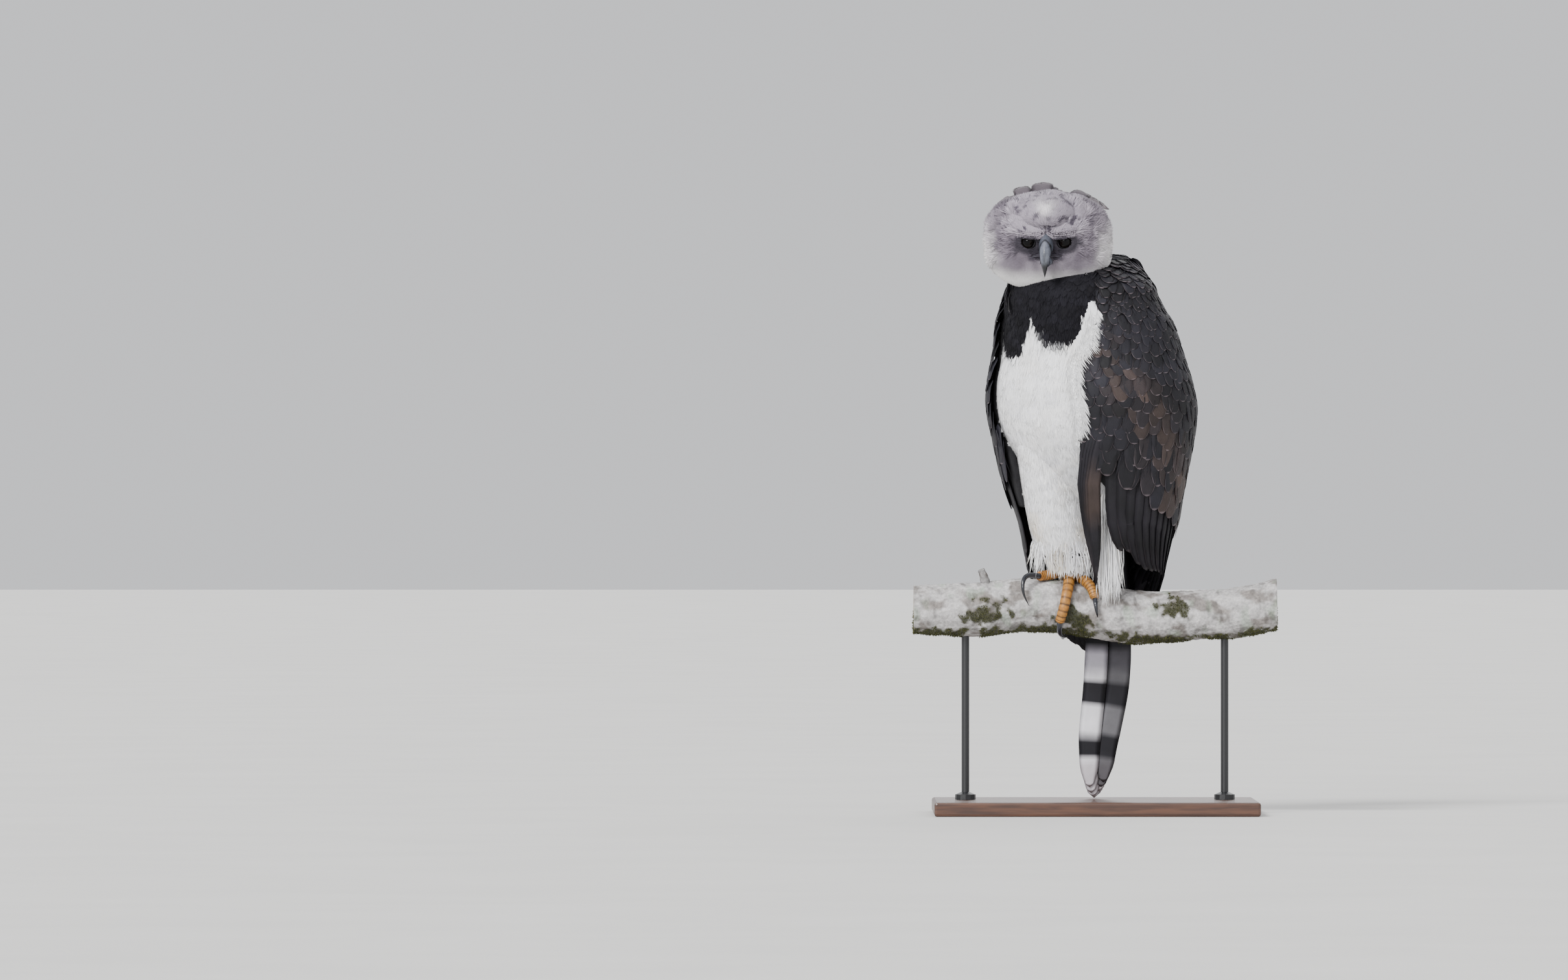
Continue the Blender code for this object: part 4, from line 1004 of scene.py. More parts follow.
class Markings:
    """The bird's colours over its whole surface, shared by skin and coat."""

    white = ink("f8f8fa")
    cream = ink("cfc0a0")
    # Bluish grey for painted shade, mixed in patches into the white.
    shade = ink("d3d4de")
    collar = ink("100f13")
    collar_pale = ink("1c1b21")
    mantle = ink("0f0e12")
    mantle_pale = ink("201f27")
    brown = ink("50413a")
    collar_edge = Profile((
        (-180, 0.4), (-115, 0.42), (-98, 0.7), (-75, 0.765), (-60, 0.745), (-45, 0.727), (-32, 0.719),
        (-20, 0.735), (-12, 0.783), (-8, 0.765), (0, 0.742), (9, 0.735), (20, 0.738), (28, 0.75), (34, 0.775),
        (42, 0.79), (52, 0.6), (100, 0.42), (180, 0.4)))
    torso = Profile(TORSO)

    def body(self, point: Array) -> Array:
        """Colours of the neck, body and legs.

        Args:
            point: world places.

        Returns:
            A linear colour for each.
        """
        z = point[..., 2]
        away = point - AHEAD * self.torso.at(z)[..., :1]
        turn = np.degrees(np.arctan2(away @ LEFT, away @ AHEAD))
        dark = ramp(z, self.collar_edge.at(turn)[..., 0] - 0.002, self.collar_edge.at(turn)[..., 0] + 0.004)
        # Painted shade: noisy patches of bluish grey over the white.
        light = mixed(self.white, self.shade, 0.3 * np.clip(noise(point, 0.05, 1), 0, 1))
        low = ramp(-z, -0.56, -0.4)
        stain = np.clip(noise(point, 0.045, 2) + 0.1, 0, 1) * (0.14 + 0.75 * low)
        light = mixed(light, self.cream, stain)
        deep = mixed(self.collar, self.collar_pale, np.clip(0.5 + 0.5 * noise(point, 0.018, 3), 0, 1))
        return mixed(light, deep, dark)

    def head(self, point: Array) -> Array:
        """Colours of the head.

        Args:
            point: world places.

        Returns:
            A linear colour for each.
        """
        right, forward, up = in_head(point)
        aside = np.abs(right)
        fine = noise(point, 0.012, 4)
        colour = mixed("7f7781", "a39ba5", np.clip(0.5 + 0.6 * noise(point, 0.03, 5), 0, 1))
        low = ramp(-up + 0.25 * np.clip(aside - 0.05, 0, 1), 0.03, 0.056)
        beside = ramp(aside, 0.064, 0.09) * ramp(-up, -0.045, 0.02)
        ridge = ramp(aside, 0.05, 0.062) * (1 - ramp(aside, 0.07, 0.08)) * ramp(up, -0.03, 0.01)
        cheek = np.exp(-(((aside - 0.046) / 0.016) ** 2 + ((up + 0.014) / 0.02) ** 2))
        colour = layered(colour, ("f7f5f4", np.maximum(low, 0.8 * beside)),
                         ("544d57", 0.85 * ridge * np.clip(0.6 + fine, 0, 1)), ("665e69", 0.75 * cheek))
        cap = ramp(up, 0.018, 0.026) * (1 - ramp(aside, 0.045, 0.056)) * ramp(forward, -0.02, 0.01)
        blotch = ramp(noise(point, 0.014, 6) + 0.3 * fine, 0.25, 0.75)
        crown = mixed("a098a3", "453f4a", 0.9 * blotch)
        pale = np.exp(-((right / 0.012) ** 2 + ((up - 0.054 - 0.5 * aside) / 0.009) ** 2))
        brow = (1 - ramp(up, 0.019, 0.024)) * ramp(aside, 0.016, 0.026)
        crown = layered(crown, ("ece7ea", 0.95 * pale), ("d9d3d8", 0.7 * brow))
        colour = mixed(colour, crown, cap)
        lore = np.exp(-(((aside - 0.014) / 0.012) ** 2 + ((up + 0.004) / 0.014) ** 2)) * ramp(forward, 0.03, 0.045)
        gape = (1 - ramp(aside, 0.02, 0.031)) * ramp(up, -0.024, -0.017) * (1 - ramp(up, 0.008, 0.016))
        gape = gape * ramp(forward, 0.03, 0.04)
        ring = np.sqrt(((aside - EYE_AT[0]) / 1.15) ** 2 + (up - EYE_AT[2]) ** 2)
        round_eye = (1 - ramp(ring, 0.0135, 0.021)) * ramp(forward, 0.03, 0.042) * (1 - ramp(up, 0.016, 0.021))
        colour = layered(colour, ("3f3b43", 0.95 * lore), ("3d3942", 0.9 * gape), ("343138", 0.92 * round_eye))
        back = ramp(-forward, 0.000, 0.045)
        return mixed(colour, mixed("2f2c33", "55505a", np.clip(0.5 + fine, 0, 1)), back)

    def wing(self, point: Array, side: int) -> Array:
        """Colours of a wing's coverts, with the worn brown band down the left wing."""
        deep = mixed(self.mantle, self.mantle_pale, np.clip(0.45 + 0.6 * noise(point, 0.02, 7), 0, 1))
        start, end = np.array((0.018, 0.73)), np.array((0.124, 0.56))
        flat = point[..., (0, 2)]
        share = np.clip(((flat - start) @ (end - start)) / np.sum((end - start) ** 2), 0, 1.25)
        gap = np.linalg.norm(flat - start - share[..., None] * (end - start), axis=-1)
        patch = ramp(0.7 * noise(point, 0.022, 8) + 0.6 * noise(point, 0.008, 18), -0.45, 0.6)
        band = np.exp(-(gap / 0.024) ** 2) * patch * (side > 0) * (point[..., 1] < 0.03)
        low = np.exp(-((point[..., 0] - 0.112) / 0.016) ** 2 - ((point[..., 2] - 0.475) / 0.05) ** 2) * (side > 0)
        streak = (side < 0) * ramp(-point[..., 2], -0.52, -0.46) * ramp(noise(point, 0.02, 9), 0.0, 0.5)
        return mixed(deep, self.brown, np.clip(0.8 * band + 0.6 * low * patch + 0.7 * streak, 0, 1))


@dataclass
class Skin:
    """One closed skin under the coat, without a seam from the head to the legs."""

    voxel: float = 0.0036
    evening: tuple[float, int] = (0.5, 3)
    quill: tuple[float, ...] = (0.0, 0.4, 0.5)
    head_depth: float = 0.0026
    body_depth: float = 0.005
    leg_depth: float = 0.006
    wing_depth: float = 0.009

    def loft(self, surface: Surface, a: Array, b: Array, depth: float) -> Pair:
        """A closed body that lies that deep inside a surface."""
        across, along = np.meshgrid(a, b)
        point, normal, _ = surface.frame(across, along)
        rings = point - normal * depth
        return skin_of(rings, (rings[0].mean(0), rings[-1].mean(0)))

    def wing(self, side: int) -> Pair:
        """The flat body of a folded wing."""
        surface = FoldedWing(side)
        levels = np.linspace(0.47, 0.806, 30)
        rings = []
        for b in levels:
            first = surface.front.at(np.array(b))[0] + 3
            angles = np.linspace(first, 179.0, 40)
            line = surface.frame(angles, np.full(40, b))
            outer = line[0] - line[1] * self.wing_depth
            inner = line[0] - line[1] * (self.wing_depth + 0.012)
            rings.append(np.concatenate((outer, inner[::-1])))
        rings = np.array(rings)
        return skin_of(rings, (rings[0].mean(0), rings[-1].mean(0)))

    def build(self, marks: Markings, finishes: Finishes) -> Piece:
        """Joins the lofts, remeshes them as one and paints the markings on."""
        turns = np.arange(0, 360, 5.0)
        skull = Skull()
        parts = [
            self.loft(Breast(), turns, np.linspace(0.432, 0.86, 60), self.body_depth),
            self.loft(Column(LEG_RIGHT), turns, np.linspace(0.398, 0.6, 30), self.leg_depth),
            self.loft(Column(LEG_LEFT), turns, np.linspace(0.462, 0.58, 20), self.leg_depth),
            self.loft(Column(NECK), turns, np.linspace(0.765, 0.903, 30), self.body_depth),
            self.loft(skull, turns, np.linspace(-0.072, 0.0515, 60), self.head_depth),
            self.loft(Dome(), np.arange(0, 360, 8.0), np.linspace(-2.9, -0.2, 24), self.head_depth),
            self.wing(1), self.wing(-1),
        ]
        winged = np.concatenate([np.full(len(p), k > 5) for k, (p, _) in enumerate(parts)])
        source, tris = joined(parts)
        obj = solid("skin", source, tris, finishes.under)
        remesh = obj.modifiers.new("one", "REMESH")
        remesh.mode = "VOXEL"
        remesh.voxel_size = self.voxel
        even = obj.modifiers.new("even", "SMOOTH")
        even.factor, even.iterations = self.evening
        apply_modifiers(obj)
        obj.data.shade_smooth()
        self.dress(obj, marks, source, winged)
        return obj

    def dress(self, obj: Piece, marks: Markings, source: Array, winged: Array) -> None:
        """Paints the skin by where each point lies and gives it the feather's attributes.

        Args:
            obj: the skin.
            marks: the bird's colours.
            source: points of the bodies that were joined.
            winged: which of them belong to a wing.
        """
        point = points_of(obj)
        near = KDTree(len(source))
        for k, spot in enumerate(source):
            near.insert(spot, k)
        near.balance()
        on_wing = np.array([winged[near.find(spot)[1]] for spot in point], float)
        _, forward, up = in_head(point)
        on_head = ramp(up + 0.3 * np.maximum(forward, 0), -0.062, -0.054) * ramp(forward, -0.075, -0.06)
        tone = mixed(marks.body(point), marks.head(point), on_head)
        paint(obj, "plume", mixed(tone, marks.mantle, on_wing))
        quill = obj.data.attributes.new("quill", "FLOAT_VECTOR", "POINT")
        quill.data.foreach_set("vector", np.tile(self.quill, len(point)).astype(np.float32))


def apply_modifiers(obj: Piece) -> None:
    """Puts what the modifiers make into the mesh and removes them."""
    graph = bpy.context.evaluated_depsgraph_get()
    mesh = bpy.data.meshes.new_from_object(obj.evaluated_get(graph))
    obj.modifiers.clear()
    obj.data = mesh


class Dome(Surface):
    """The forehead's cap, by degrees round a line from the bill's root and by minus the angle from it."""

    step = (2.0, 0.02)
    span = ((0.0, 360.0), (-3.0, 0.0))

    def base(self, a: Array, b: Array) -> Array:
        """Points of the bare surface."""
        a, b = np.broadcast_arrays(np.radians(a), b)
        pole, side, over = np.array((0, 0.8, -0.6)), np.array((1.0, 0, 0)), np.array((0, 0.6, 0.8))
        ring = side * np.cos(a)[..., None] + over * np.sin(a)[..., None]
        way = pole * np.cos(b)[..., None] - ring * np.sin(b)[..., None]
        place = np.array(FOREHEAD_AT) + np.array(FOREHEAD_SIZE) * way
        return face(place[..., 0], place[..., 1], place[..., 2])

    def middle(self, a: Array, b: Array) -> Array:
        """The dome's middle."""
        a, b = np.broadcast_arrays(a, b)
        return face(0 * b, FOREHEAD_AT[1] + 0 * b, FOREHEAD_AT[2] + 0 * b)


def skin_tree(skin: Piece) -> BVHTree:
    """A search tree over the faces of the skin."""
    mesh = skin.data
    return BVHTree.FromPolygons([tuple(v.co) for v in mesh.vertices], [tuple(f.vertices) for f in mesh.polygons])


def struck(tree: BVHTree, start: Array, way: Array, far: float) -> Optional[Pair]:
    """The place and normal where a ray meets the skin, if it does within that distance."""
    hit, normal, _, _ = tree.ray_cast(Vector(start), Vector(way), far)
    return None if hit is None else (np.array(hit), np.array(normal))


def ground(tree: BVHTree, start: Array) -> Optional[Pair]:
    """The first upward-facing place under a spot and its normal, if there is one."""
    for _ in range(6):
        found = struck(tree, start, -UP, 0.25)
        if found is None or found[1][2] > 0.02:
            return found
        start = found[0] - UP * 0.0005
    return None


@dataclass
class Coat:
    """Lays body feathers over a surface in staggered rows."""

    marks: Markings
    finishes: Finishes
    spread: float = 0.34
    breast_rows: tuple = ((-180, 180), (0.462, 0.856), 0.0112, 0.01)
    neck_rows: tuple = ((0, 360), (0.776, 0.9), 0.0105, 0.0105)
    right_leg_rows: tuple = ((0, 360), (0.402, 0.6), 0.0098, 0.0098)
    left_leg_rows: tuple = ((0, 360), (0.455, 0.58), 0.0095, 0.011)
    open_front: tuple[float, float] = (-96, 44)
    wisp_counts: tuple[int, int] = (420, 360)
    cape_at: tuple[float, ...] = (-0.052, -0.04, 0.874)
    cape_reach: tuple[float, float] = (0.03, 0.15)
    cape_row: float = 0.0085
    cape_pitch: float = 0.0115
    cape_lengths: tuple[float, ...] = (0.04, 0.03, 0.021)
    cape_lift: float = 0.007

    def lay(self, plumes: Plumage, surface: Surface, places: Pair, length: Array, half: Array,
            colour: Rule, seed: int, shape: Shape = BROAD, strands: int = 7,
            turn: Array = 0.0, out: Array = 0.0, keep: Optional[Rule] = None) -> None:
        """Lays one feather at each place and fine strands over its tip.

        Args:
            plumes: takes the feathers.
            surface: what they lie on.
            places: roots across and along.
            length: their length.
            half: their half width.
            colour: gives colours for world places.
            seed: seed of the small differences.
            shape: the feather's shape.
            strands: strands for each feather.
            turn: how far the feathers lean aside.
            out: extra height at the tip.
            keep: tells from world paths which feathers stay.
        """
        dice = np.random.default_rng(seed)
        a, b = places
        count = len(a)
        length = np.broadcast_to(length, count) * dice.uniform(0.85, 1.15, count)
        half = np.broadcast_to(half, count) * dice.uniform(0.9, 1.1, count)
        lean = np.broadcast_to(turn, count) + dice.normal(0, 0.06, count)
        raised = np.broadcast_to(out, count) + dice.uniform(0, 0.001, count)
        path, normal = flow(surface, a, b, length * 0.86, shape, lean, raised)
        stays = np.ones(count, bool) if keep is None else keep(path)
        tile = surface.tile(a, b)
        tone = self.tones(colour, path, dice)
        plumes.add(path[stays], normal[stays], half[stays], shape, tile[stays], tone[stays], 0.0, seed)
        for k in range(strands):
            fan = self.spread * (2 * k / max(strands - 1, 1) - 1)
            way = lean + fan + dice.normal(0, 0.05, count)
            path, normal = flow(surface, a, b, length * dice.uniform(0.8, 1.1, count), STRAND, way,
                                raised + 0.0003)
            fine = np.clip(half * 0.17, 0.0003, 0.0013)
            stays_too = stays if keep is None else stays & keep(path)
            tone = self.tones(colour, path, dice)
            plumes.add(path[stays_too], normal[stays_too], fine[stays_too], STRAND, tile[stays_too],
                       tone[stays_too], 0.0, seed + k)

    @staticmethod
    def tones(colour: Rule, path: Array, dice: Dice) -> Array:
        """A colour for each station, set by the root, with painted shade that darkens the root and lightens the tip
        a little.
        """
        root = colour(path[:, 0])
        # Painted shade: darker at the feather's root, lighter towards its tip.
        share = np.linspace(0.9, 1.08, path.shape[1])[None, :, None]
        vary = dice.uniform(0.92, 1.06, (len(path), 1, 1))
        return np.clip(root[:, None] * share * vary, 0, 1)

    def body(self, tree: BVHTree) -> list[Piece]:
        """The white breast and belly, the dark collar and the feathered legs."""
        breast = Breast()
        white, dark, legs, mantle = Plumage(), Plumage(), Plumage(), Plumage()
        a, b = rows_on(breast, *self.breast_rows, 11)
        edge = self.marks.collar_edge.at(a)[:, 0]
        open_side = (a > self.open_front[0]) & (a < self.open_front[1])
        below = (b < edge) & (open_side | (b < 0.53))
        self.lay(white, breast, (a[below], b[below]), 0.046, 0.01, self.marks.body, 12, strands=12)
        side = np.linspace(0, 1, 150)
        height = 0.6 + 0.195 * side
        place = np.interp(height, (0.6, 0.725, 0.75, 0.775, 0.795), (17.5, 20, 26, 31, 35)) + 2 * np.sin(9 * side)
        self.lay(white, breast, (place, height), 0.036, 0.006, self.marks.body, 13, turn=0.22, out=0.008,
                 strands=12)
        over = ~below & open_side & (b > 0.7)
        self.lay(dark, breast, (a[over], b[over]), 0.032, 0.0082, self.marks.body, 14, out=0.0012)
        behind = ~open_side & (b > 0.775)
        self.lay(mantle, breast, (a[behind], b[behind]), 0.044, 0.011, self.shoulder, 22, shape=SCALE, out=0.005,
                 strands=5)
        neck = Column(NECK)
        a, b = rows_on(neck, *self.neck_rows, 15)
        rear = (a > 350) | (a < 190)
        self.lay(mantle, neck, (a[rear], b[rear]), 0.046, 0.011, self.shoulder, 16, shape=SCALE, out=0.003,
                 strands=5)
        low = ~rear & (b < 0.84)
        self.lay(dark, neck, (a[low], b[low]), 0.028, 0.0075, self.marks.body, 23)
        self.cape(mantle, tree)
        right, left = Column(LEG_RIGHT), Column(LEG_LEFT)
        self.lay(legs, right, rows_on(right, *self.right_leg_rows, 17), 0.04, 0.0085,
                 self.marks.body, 18, strands=10)
        self.lay(legs, left, rows_on(left, *self.left_leg_rows, 19), 0.034, 0.0065,
                 self.marks.body, 20)
        self.wisps(legs)
        return [white.make("coat_breast", self.finishes.soft, 0.8),
                dark.make("coat_collar", self.finishes.dark, 0.6),
                mantle.make("coat_mantle", self.finishes.slate), legs.make("coat_legs", self.finishes.soft, 0.7)]

    def cape(self, plumes: Plumage, tree: BVHTree) -> None:
        """Lays the mantle's feathers over the tops of the shoulders, shorter where they would stick out."""
        dice = np.random.default_rng(26)
        found = []
        for reach in np.arange(*self.cape_reach, self.cape_row):
            for turn in np.arange(dice.uniform(0, 10), 360, math.degrees(self.cape_pitch / reach)):
                lean = math.radians(turn + dice.normal(0, 2))
                way = np.array((math.cos(lean), math.sin(lean), 0))
                start = np.array(self.cape_at) + way * (reach + dice.normal(0, 0.002))
                for length in self.cape_lengths:
                    spots = [ground(tree, start + way * length * share) for share in SCALE.run]
                    if None not in spots and spots[-1][0][2] > spots[0][0][2] - 0.75 * length:
                        break
                else:
                    continue
                line, normals = map(np.array, zip(*spots))
                steep = normals[0, 2] < 0.35 or line[0, 2] < 0.79
                in_front = line[0, 1] < -0.08 and line[0, 0] < 0.02
                if not steep and not in_front:
                    found.append((line + UP * self.cape_lift, normals))
        path, normal = map(np.array, zip(*found))
        tone = self.tones(self.shoulder, path, dice)
        plumes.add(path, normal, 0.01, SCALE, path[:, 0, :2] * 2 + 0.5, tone, 0.0005, 27)

    def shoulder(self, point: Array) -> Array:
        """Colours of the nape and mantle."""
        return self.marks.wing(point, -1) * 1.05

    def wisps(self, plumes: Plumage) -> None:
        """The long loose feathers that hang from both legs over the toes."""
        dice = np.random.default_rng(21)
        count = self.wisp_counts[0]
        t = dice.uniform(0, 1, count)
        root = np.stack((0.008 + 0.022 * t, -0.066 - 0.01 * dice.uniform(0, 1, count),
                         0.505 - 0.08 * dice.uniform(0, 1, count)), -1)
        low = root[:, 2] - 0.085 - 0.09 * dice.uniform(0, 1, count) ** 1.5
        low = np.maximum(low, 0.318 + 0.03 * dice.uniform(0, 1, count))
        spread = 0.004 + 0.034 * t + dice.normal(0, 0.004, count)
        tip = np.stack((spread, -0.052 - 0.012 * dice.uniform(0, 1, count), low), -1)
        self.hang(plumes, root, tip, 0.0006, dice)
        count = self.wisp_counts[1]
        turn = dice.uniform(0, 2 * math.pi, count)
        rim = Column(LEG_RIGHT).base(np.degrees(turn), 0.41 + 0.02 * dice.uniform(0, 1, count))
        out = np.stack((np.cos(turn), np.sin(turn), 0 * turn), -1)
        drop = 0.03 + 0.03 * dice.uniform(0, 1, count) ** 1.5
        tip = rim + out * dice.normal(0.001, 0.004, (count, 1))
        tip = tip + dice.normal(0, 0.004, (count, 3)) - UP * drop[:, None]
        self.hang(plumes, rim - out * 0.003, tip, 0.0005, dice)

    def hang(self, plumes: Plumage, root: Array, tip: Array, half: float, dice: Dice) -> None:
        """Single loose strands from roots to tips."""
        shape = Shape((0.0, 0.35, 0.7), (0.6, 1.0, 0.7), (0.0, 0.0, 0.0), Cut.SOFT, 0.1, 0.0005)
        bow = dice.normal(0, 0.0035, (len(root), 1, 3)) * np.array((1, 1, 0))
        bow = np.sin(shape.run[None, :, None] * math.pi) * bow
        path = shape.straight(root, tip) + bow
        normal = unit(dice.normal(0, 0.3, (len(root), 1, 3)) + np.array((0, -1.0, 0)))
        tone = self.tones(self.marks.body, path, dice)
        plumes.add(path, normal, half * dice.uniform(0.6, 1.2, len(root)), shape, 0.5, tone)


@dataclass
class Wing:
    """A folded wing: rows of coverts over long flight feathers."""

    side: int
    marks: Markings
    finishes: Finishes
    rows: int = 20
    coverts: Table = metres((
        (0, 816, 0, 28, 7.8), (1, 784, 8, 30, 8.8), (2, 740, 20, 34, 10.4), (3, 692, 36, 40, 12.2),
        (4, 640, 56, 50, 13.6), (5, 585, 80, 70, 14.5)), 0)
    covert_spread: float = 0.26
    bar_length: float = 0.055
    flights_from: float = 0.575

    def build(self) -> list[Piece]:
        """Makes the coverts and the flight feathers."""
        name = "left" if self.side > 0 else "right"
        self.surface = FoldedWing(self.side)
        scales, quills = Plumage(), Plumage()
        self.cover(scales)
        self.fly(quills)
        if self.side > 0:
            self.strip(quills)
        return [scales.make(f"wing_{name}_coverts", self.finishes.slate, 0.5),
                quills.make(f"wing_{name}_flights", self.finishes.quill)]

    def drop(self, angle: Array) -> Array:
        """How far the rows fall towards the wing's back, as a share."""
        return np.clip((np.asarray(angle) - 35) / 75, 0, 1) ** 1.3

    def cover(self, plumes: Plumage) -> None:
        """Rows of rounded coverts, small at the shoulder and long above the flight feathers."""
        dice = np.random.default_rng(31 + self.side)
        table = Profile(self.coverts)
        for number, at in enumerate(np.linspace(0, 5, self.rows)):
            height, fall, length, half = table.at(np.array(at))
            first = self.surface.front.at(np.array(height - length / 2))[0] + 1.0
            fine = np.linspace(first, 184.0 if self.side > 0 else 178.0, 121)
            level = height - fall * self.drop(fine) - length / 2
            arc = metres_along(self.surface.base(fine, level))
            count = int(arc[-1] / (1.5 * half))
            spots = (np.arange(count) + 0.5 * (number % 2) + 0.15
                     + dice.uniform(-0.2, 0.2, count)) * arc[-1] / count
            a = np.interp(spots, arc, fine)
            b = height - fall * self.drop(a) + dice.normal(0, 0.0028, count)
            long = length * dice.uniform(0.86, 1.16, count) * (1 + 0.15 * self.drop(a))
            path, normal = flow(self.surface, a, b, long, SCALE, dice.normal(0, 0.07, count), 0.0)
            tone = Coat.tones(lambda p: self.marks.wing(p, self.side), path, dice)
            widths = half * dice.uniform(0.9, 1.1, count)
            plumes.add(path, normal, widths, SCALE, self.surface.tile(a, b), tone, 0.0005 * (-1) ** number, number)
            for fan in np.linspace(-self.covert_spread, self.covert_spread, 9):
                reach = long * (1.03 - 1.1 * fan * fan) * dice.uniform(0.93, 1.03, count)
                path, normal = flow(self.surface, a, b, reach, STRAND,
                                    fan * widths / 0.012 + dice.normal(0, 0.03, count), 0.0004)
                shade = Coat.tones(lambda p: self.marks.wing(p, self.side), path, dice) * 1.15
                plumes.add(path, normal, 0.0006, STRAND, self.surface.tile(a, b), shade, 0.0, number)

    def fly(self, plumes: Plumage) -> None:
        """Secondaries in a shingled row, and the longer primaries' tips under them."""
        table = np.array(FLIGHTS_LEFT if self.side > 0 else FLIGHTS_RIGHT, float)
        dice = np.random.default_rng(41 + self.side)
        first = table[0, 0] - 4
        for out, start, end, step, extra, half in ((-0.0092, 108, 170, 9.0, -0.01, 0.015),
                                                   (-0.0046, first, 174, 7.4, 0.0, 0.0178)):
            a = np.arange(start, end, step)
            tip = np.interp(a, table[:, 0], table[:, 1]) + extra + dice.normal(0, 0.003, len(a))
            root = self.flights_from - 0.075 * self.drop(a)
            lifts = (out - 0.004,) + (out,) * 6
            shape = Shape(QUILL.along, QUILL.width, lifts, Cut.VANE, 0.05, 0.0007)
            path, normal = flow(self.surface, a, root, root - tip, shape, 0.0, 0.0)
            tone = self.flight_tones(path, dice)
            plumes.add(path, normal, half * dice.uniform(0.93, 1.05, len(a)), shape, self.surface.tile(a, root),
                       tone, 0.0011, 7)

    def flight_tones(self, path: Array, dice: Dice) -> Array:
        """Dark slate, with broad bars so faint that they only show close to."""
        bars = 0.5 + 0.5 * np.sin(path[..., 2] * 2 * math.pi / self.bar_length
                                  + dice.uniform(0, 1.5, (len(path), 1)))
        tone = mixed("100f13", "242128", 0.6 * bars)
        inner = (self.side < 0) * ramp(-path[..., 0], -0.1, 0.1) * ramp(noise(path, 0.02, 12), -0.2, 0.4)
        return mixed(tone, self.marks.brown, 0.35 * np.clip(inner, 0, 1) * (path[..., 1] < 0.0))

    def strip(self, plumes: Plumage) -> None:
        """The innermost flight feathers, which hang in front of the drawn-up leg."""
        marks = np.array(metres((
            ((-22, -127.5, 520), (-14, -105, 450), (-6, -88, 400), (-4, -78, 372)),
            ((-12, -130, 520), (-8, -107.5, 450), (-2, -89, 400), (-1, -66, 345)),
            ((-2, -133, 520), (-1, -110, 450), (1, -91, 400), (1, -71, 358)))))
        dice = np.random.default_rng(47)
        paths = []
        for share in np.linspace(0, 2, 6):
            low = min(int(share), 1)
            row = marks[low] * (1 - (share - low)) + marks[low + 1] * (share - low)
            top = self.surface.base(np.array(25 + 5 * share), np.array(0.6)) - np.array((0, -0.004, 0))
            spine = curve(np.concatenate((top[None], row)), 8)
            paths.append(spine - np.array((0, 0.0012, 0)) * (share % 2))
        path = np.array(paths)
        normal = unit(np.array((0.1, -1.0, -0.1)))
        tone = self.flight_tones(path, dice)
        patch = np.exp(-((path[..., 2] - 0.49) / 0.026) ** 2) * ramp(path[..., 0], -0.016, -0.006)
        tone = mixed(tone, self.marks.brown, 0.85 * patch)
        plumes.add(path, normal, 0.0085, QUILL, 0.3, tone, 0.001, 8)


@dataclass
class Tail:
    """The closed tail below the branch, its feathers barred black and pale grey."""

    finishes: Finishes
    stations: int = 44
    half: float = 0.0178
    top: float = 0.44
    bar_edges: tuple[tuple[float, ...], ...] = ((0.163, 0.168, 0.2, 0.206), (0.084, 0.089, 0.116, 0.122))
    # Heights over which the tail turns dark upwards: painted shadow under the branch.
    branch_shadow_band: tuple[float, float] = (0.246, 0.262)

    def build(self) -> Piece:
        """Makes the nine feathers that show."""
        profile = Profile(TAIL)
        along = tuple(np.linspace(0.01, 0.985, self.stations))
        width = tuple(np.interp(along, (0, 0.2, 0.5, 0.8, 0.93, 0.985), (0.72, 0.86, 1.0, 0.98, 0.8, 0.42)))
        shape = Shape(along, width, (0.0,) * self.stations, Cut.VANE, 0.03, 0.0008)
        plumes = Plumage()
        for k, (layer, tip) in enumerate(zip(TAIL_LAYERS, TAIL_TIPS)):
            z = self.top + (tip - 0.012 - self.top) * shape.run
            x, spread = profile.at(z).T
            y = TAIL_FRONT + TAIL_STEP * layer + 0.01 * np.maximum(0, (0.25 - z) / 0.2)
            path = np.stack((x + spread * (k - 4) / 4, y, z), -1)[None]
            plumes.add(path, np.array((0, -1.0, 0)), self.half, shape, np.array((0.1 + 0.09 * k, 0.5)),
                       self.bars(path, k), 0.0004 * (k - 4) / 4, k)
        return plumes.make("tail_feathers", self.finishes.tail)

    def bars(self, path: Array, number: int) -> Array:
        """Black bars across pale grey, dark down the outer feather on the bird's left, and dark at the top as
        painted shadow under the branch.
        """
        z = path[..., 2] + 0.003 * math.sin(3.1 * number)
        dark = sum(ramp(z, a, b) * (1 - ramp(z, c, d)) for a, b, c, d in self.bar_edges)
        # Painted shadow: everything above these heights goes dark under the branch.
        dark = np.maximum(dark, ramp(z, *self.branch_shadow_band))
        grey = mixed("d9d7dc", "a9a5b0", ramp(z, 0.205, 0.235))
        grey = mixed(grey, "b9b3b8", 1 - ramp(z, 0.07, 0.088))
        tone = mixed(grey, "18171c", np.clip(dark, 0, 1))
        return mixed(tone, "1c1b20", np.full(z.shape, 0.85 if number >= 7 else 0.0))


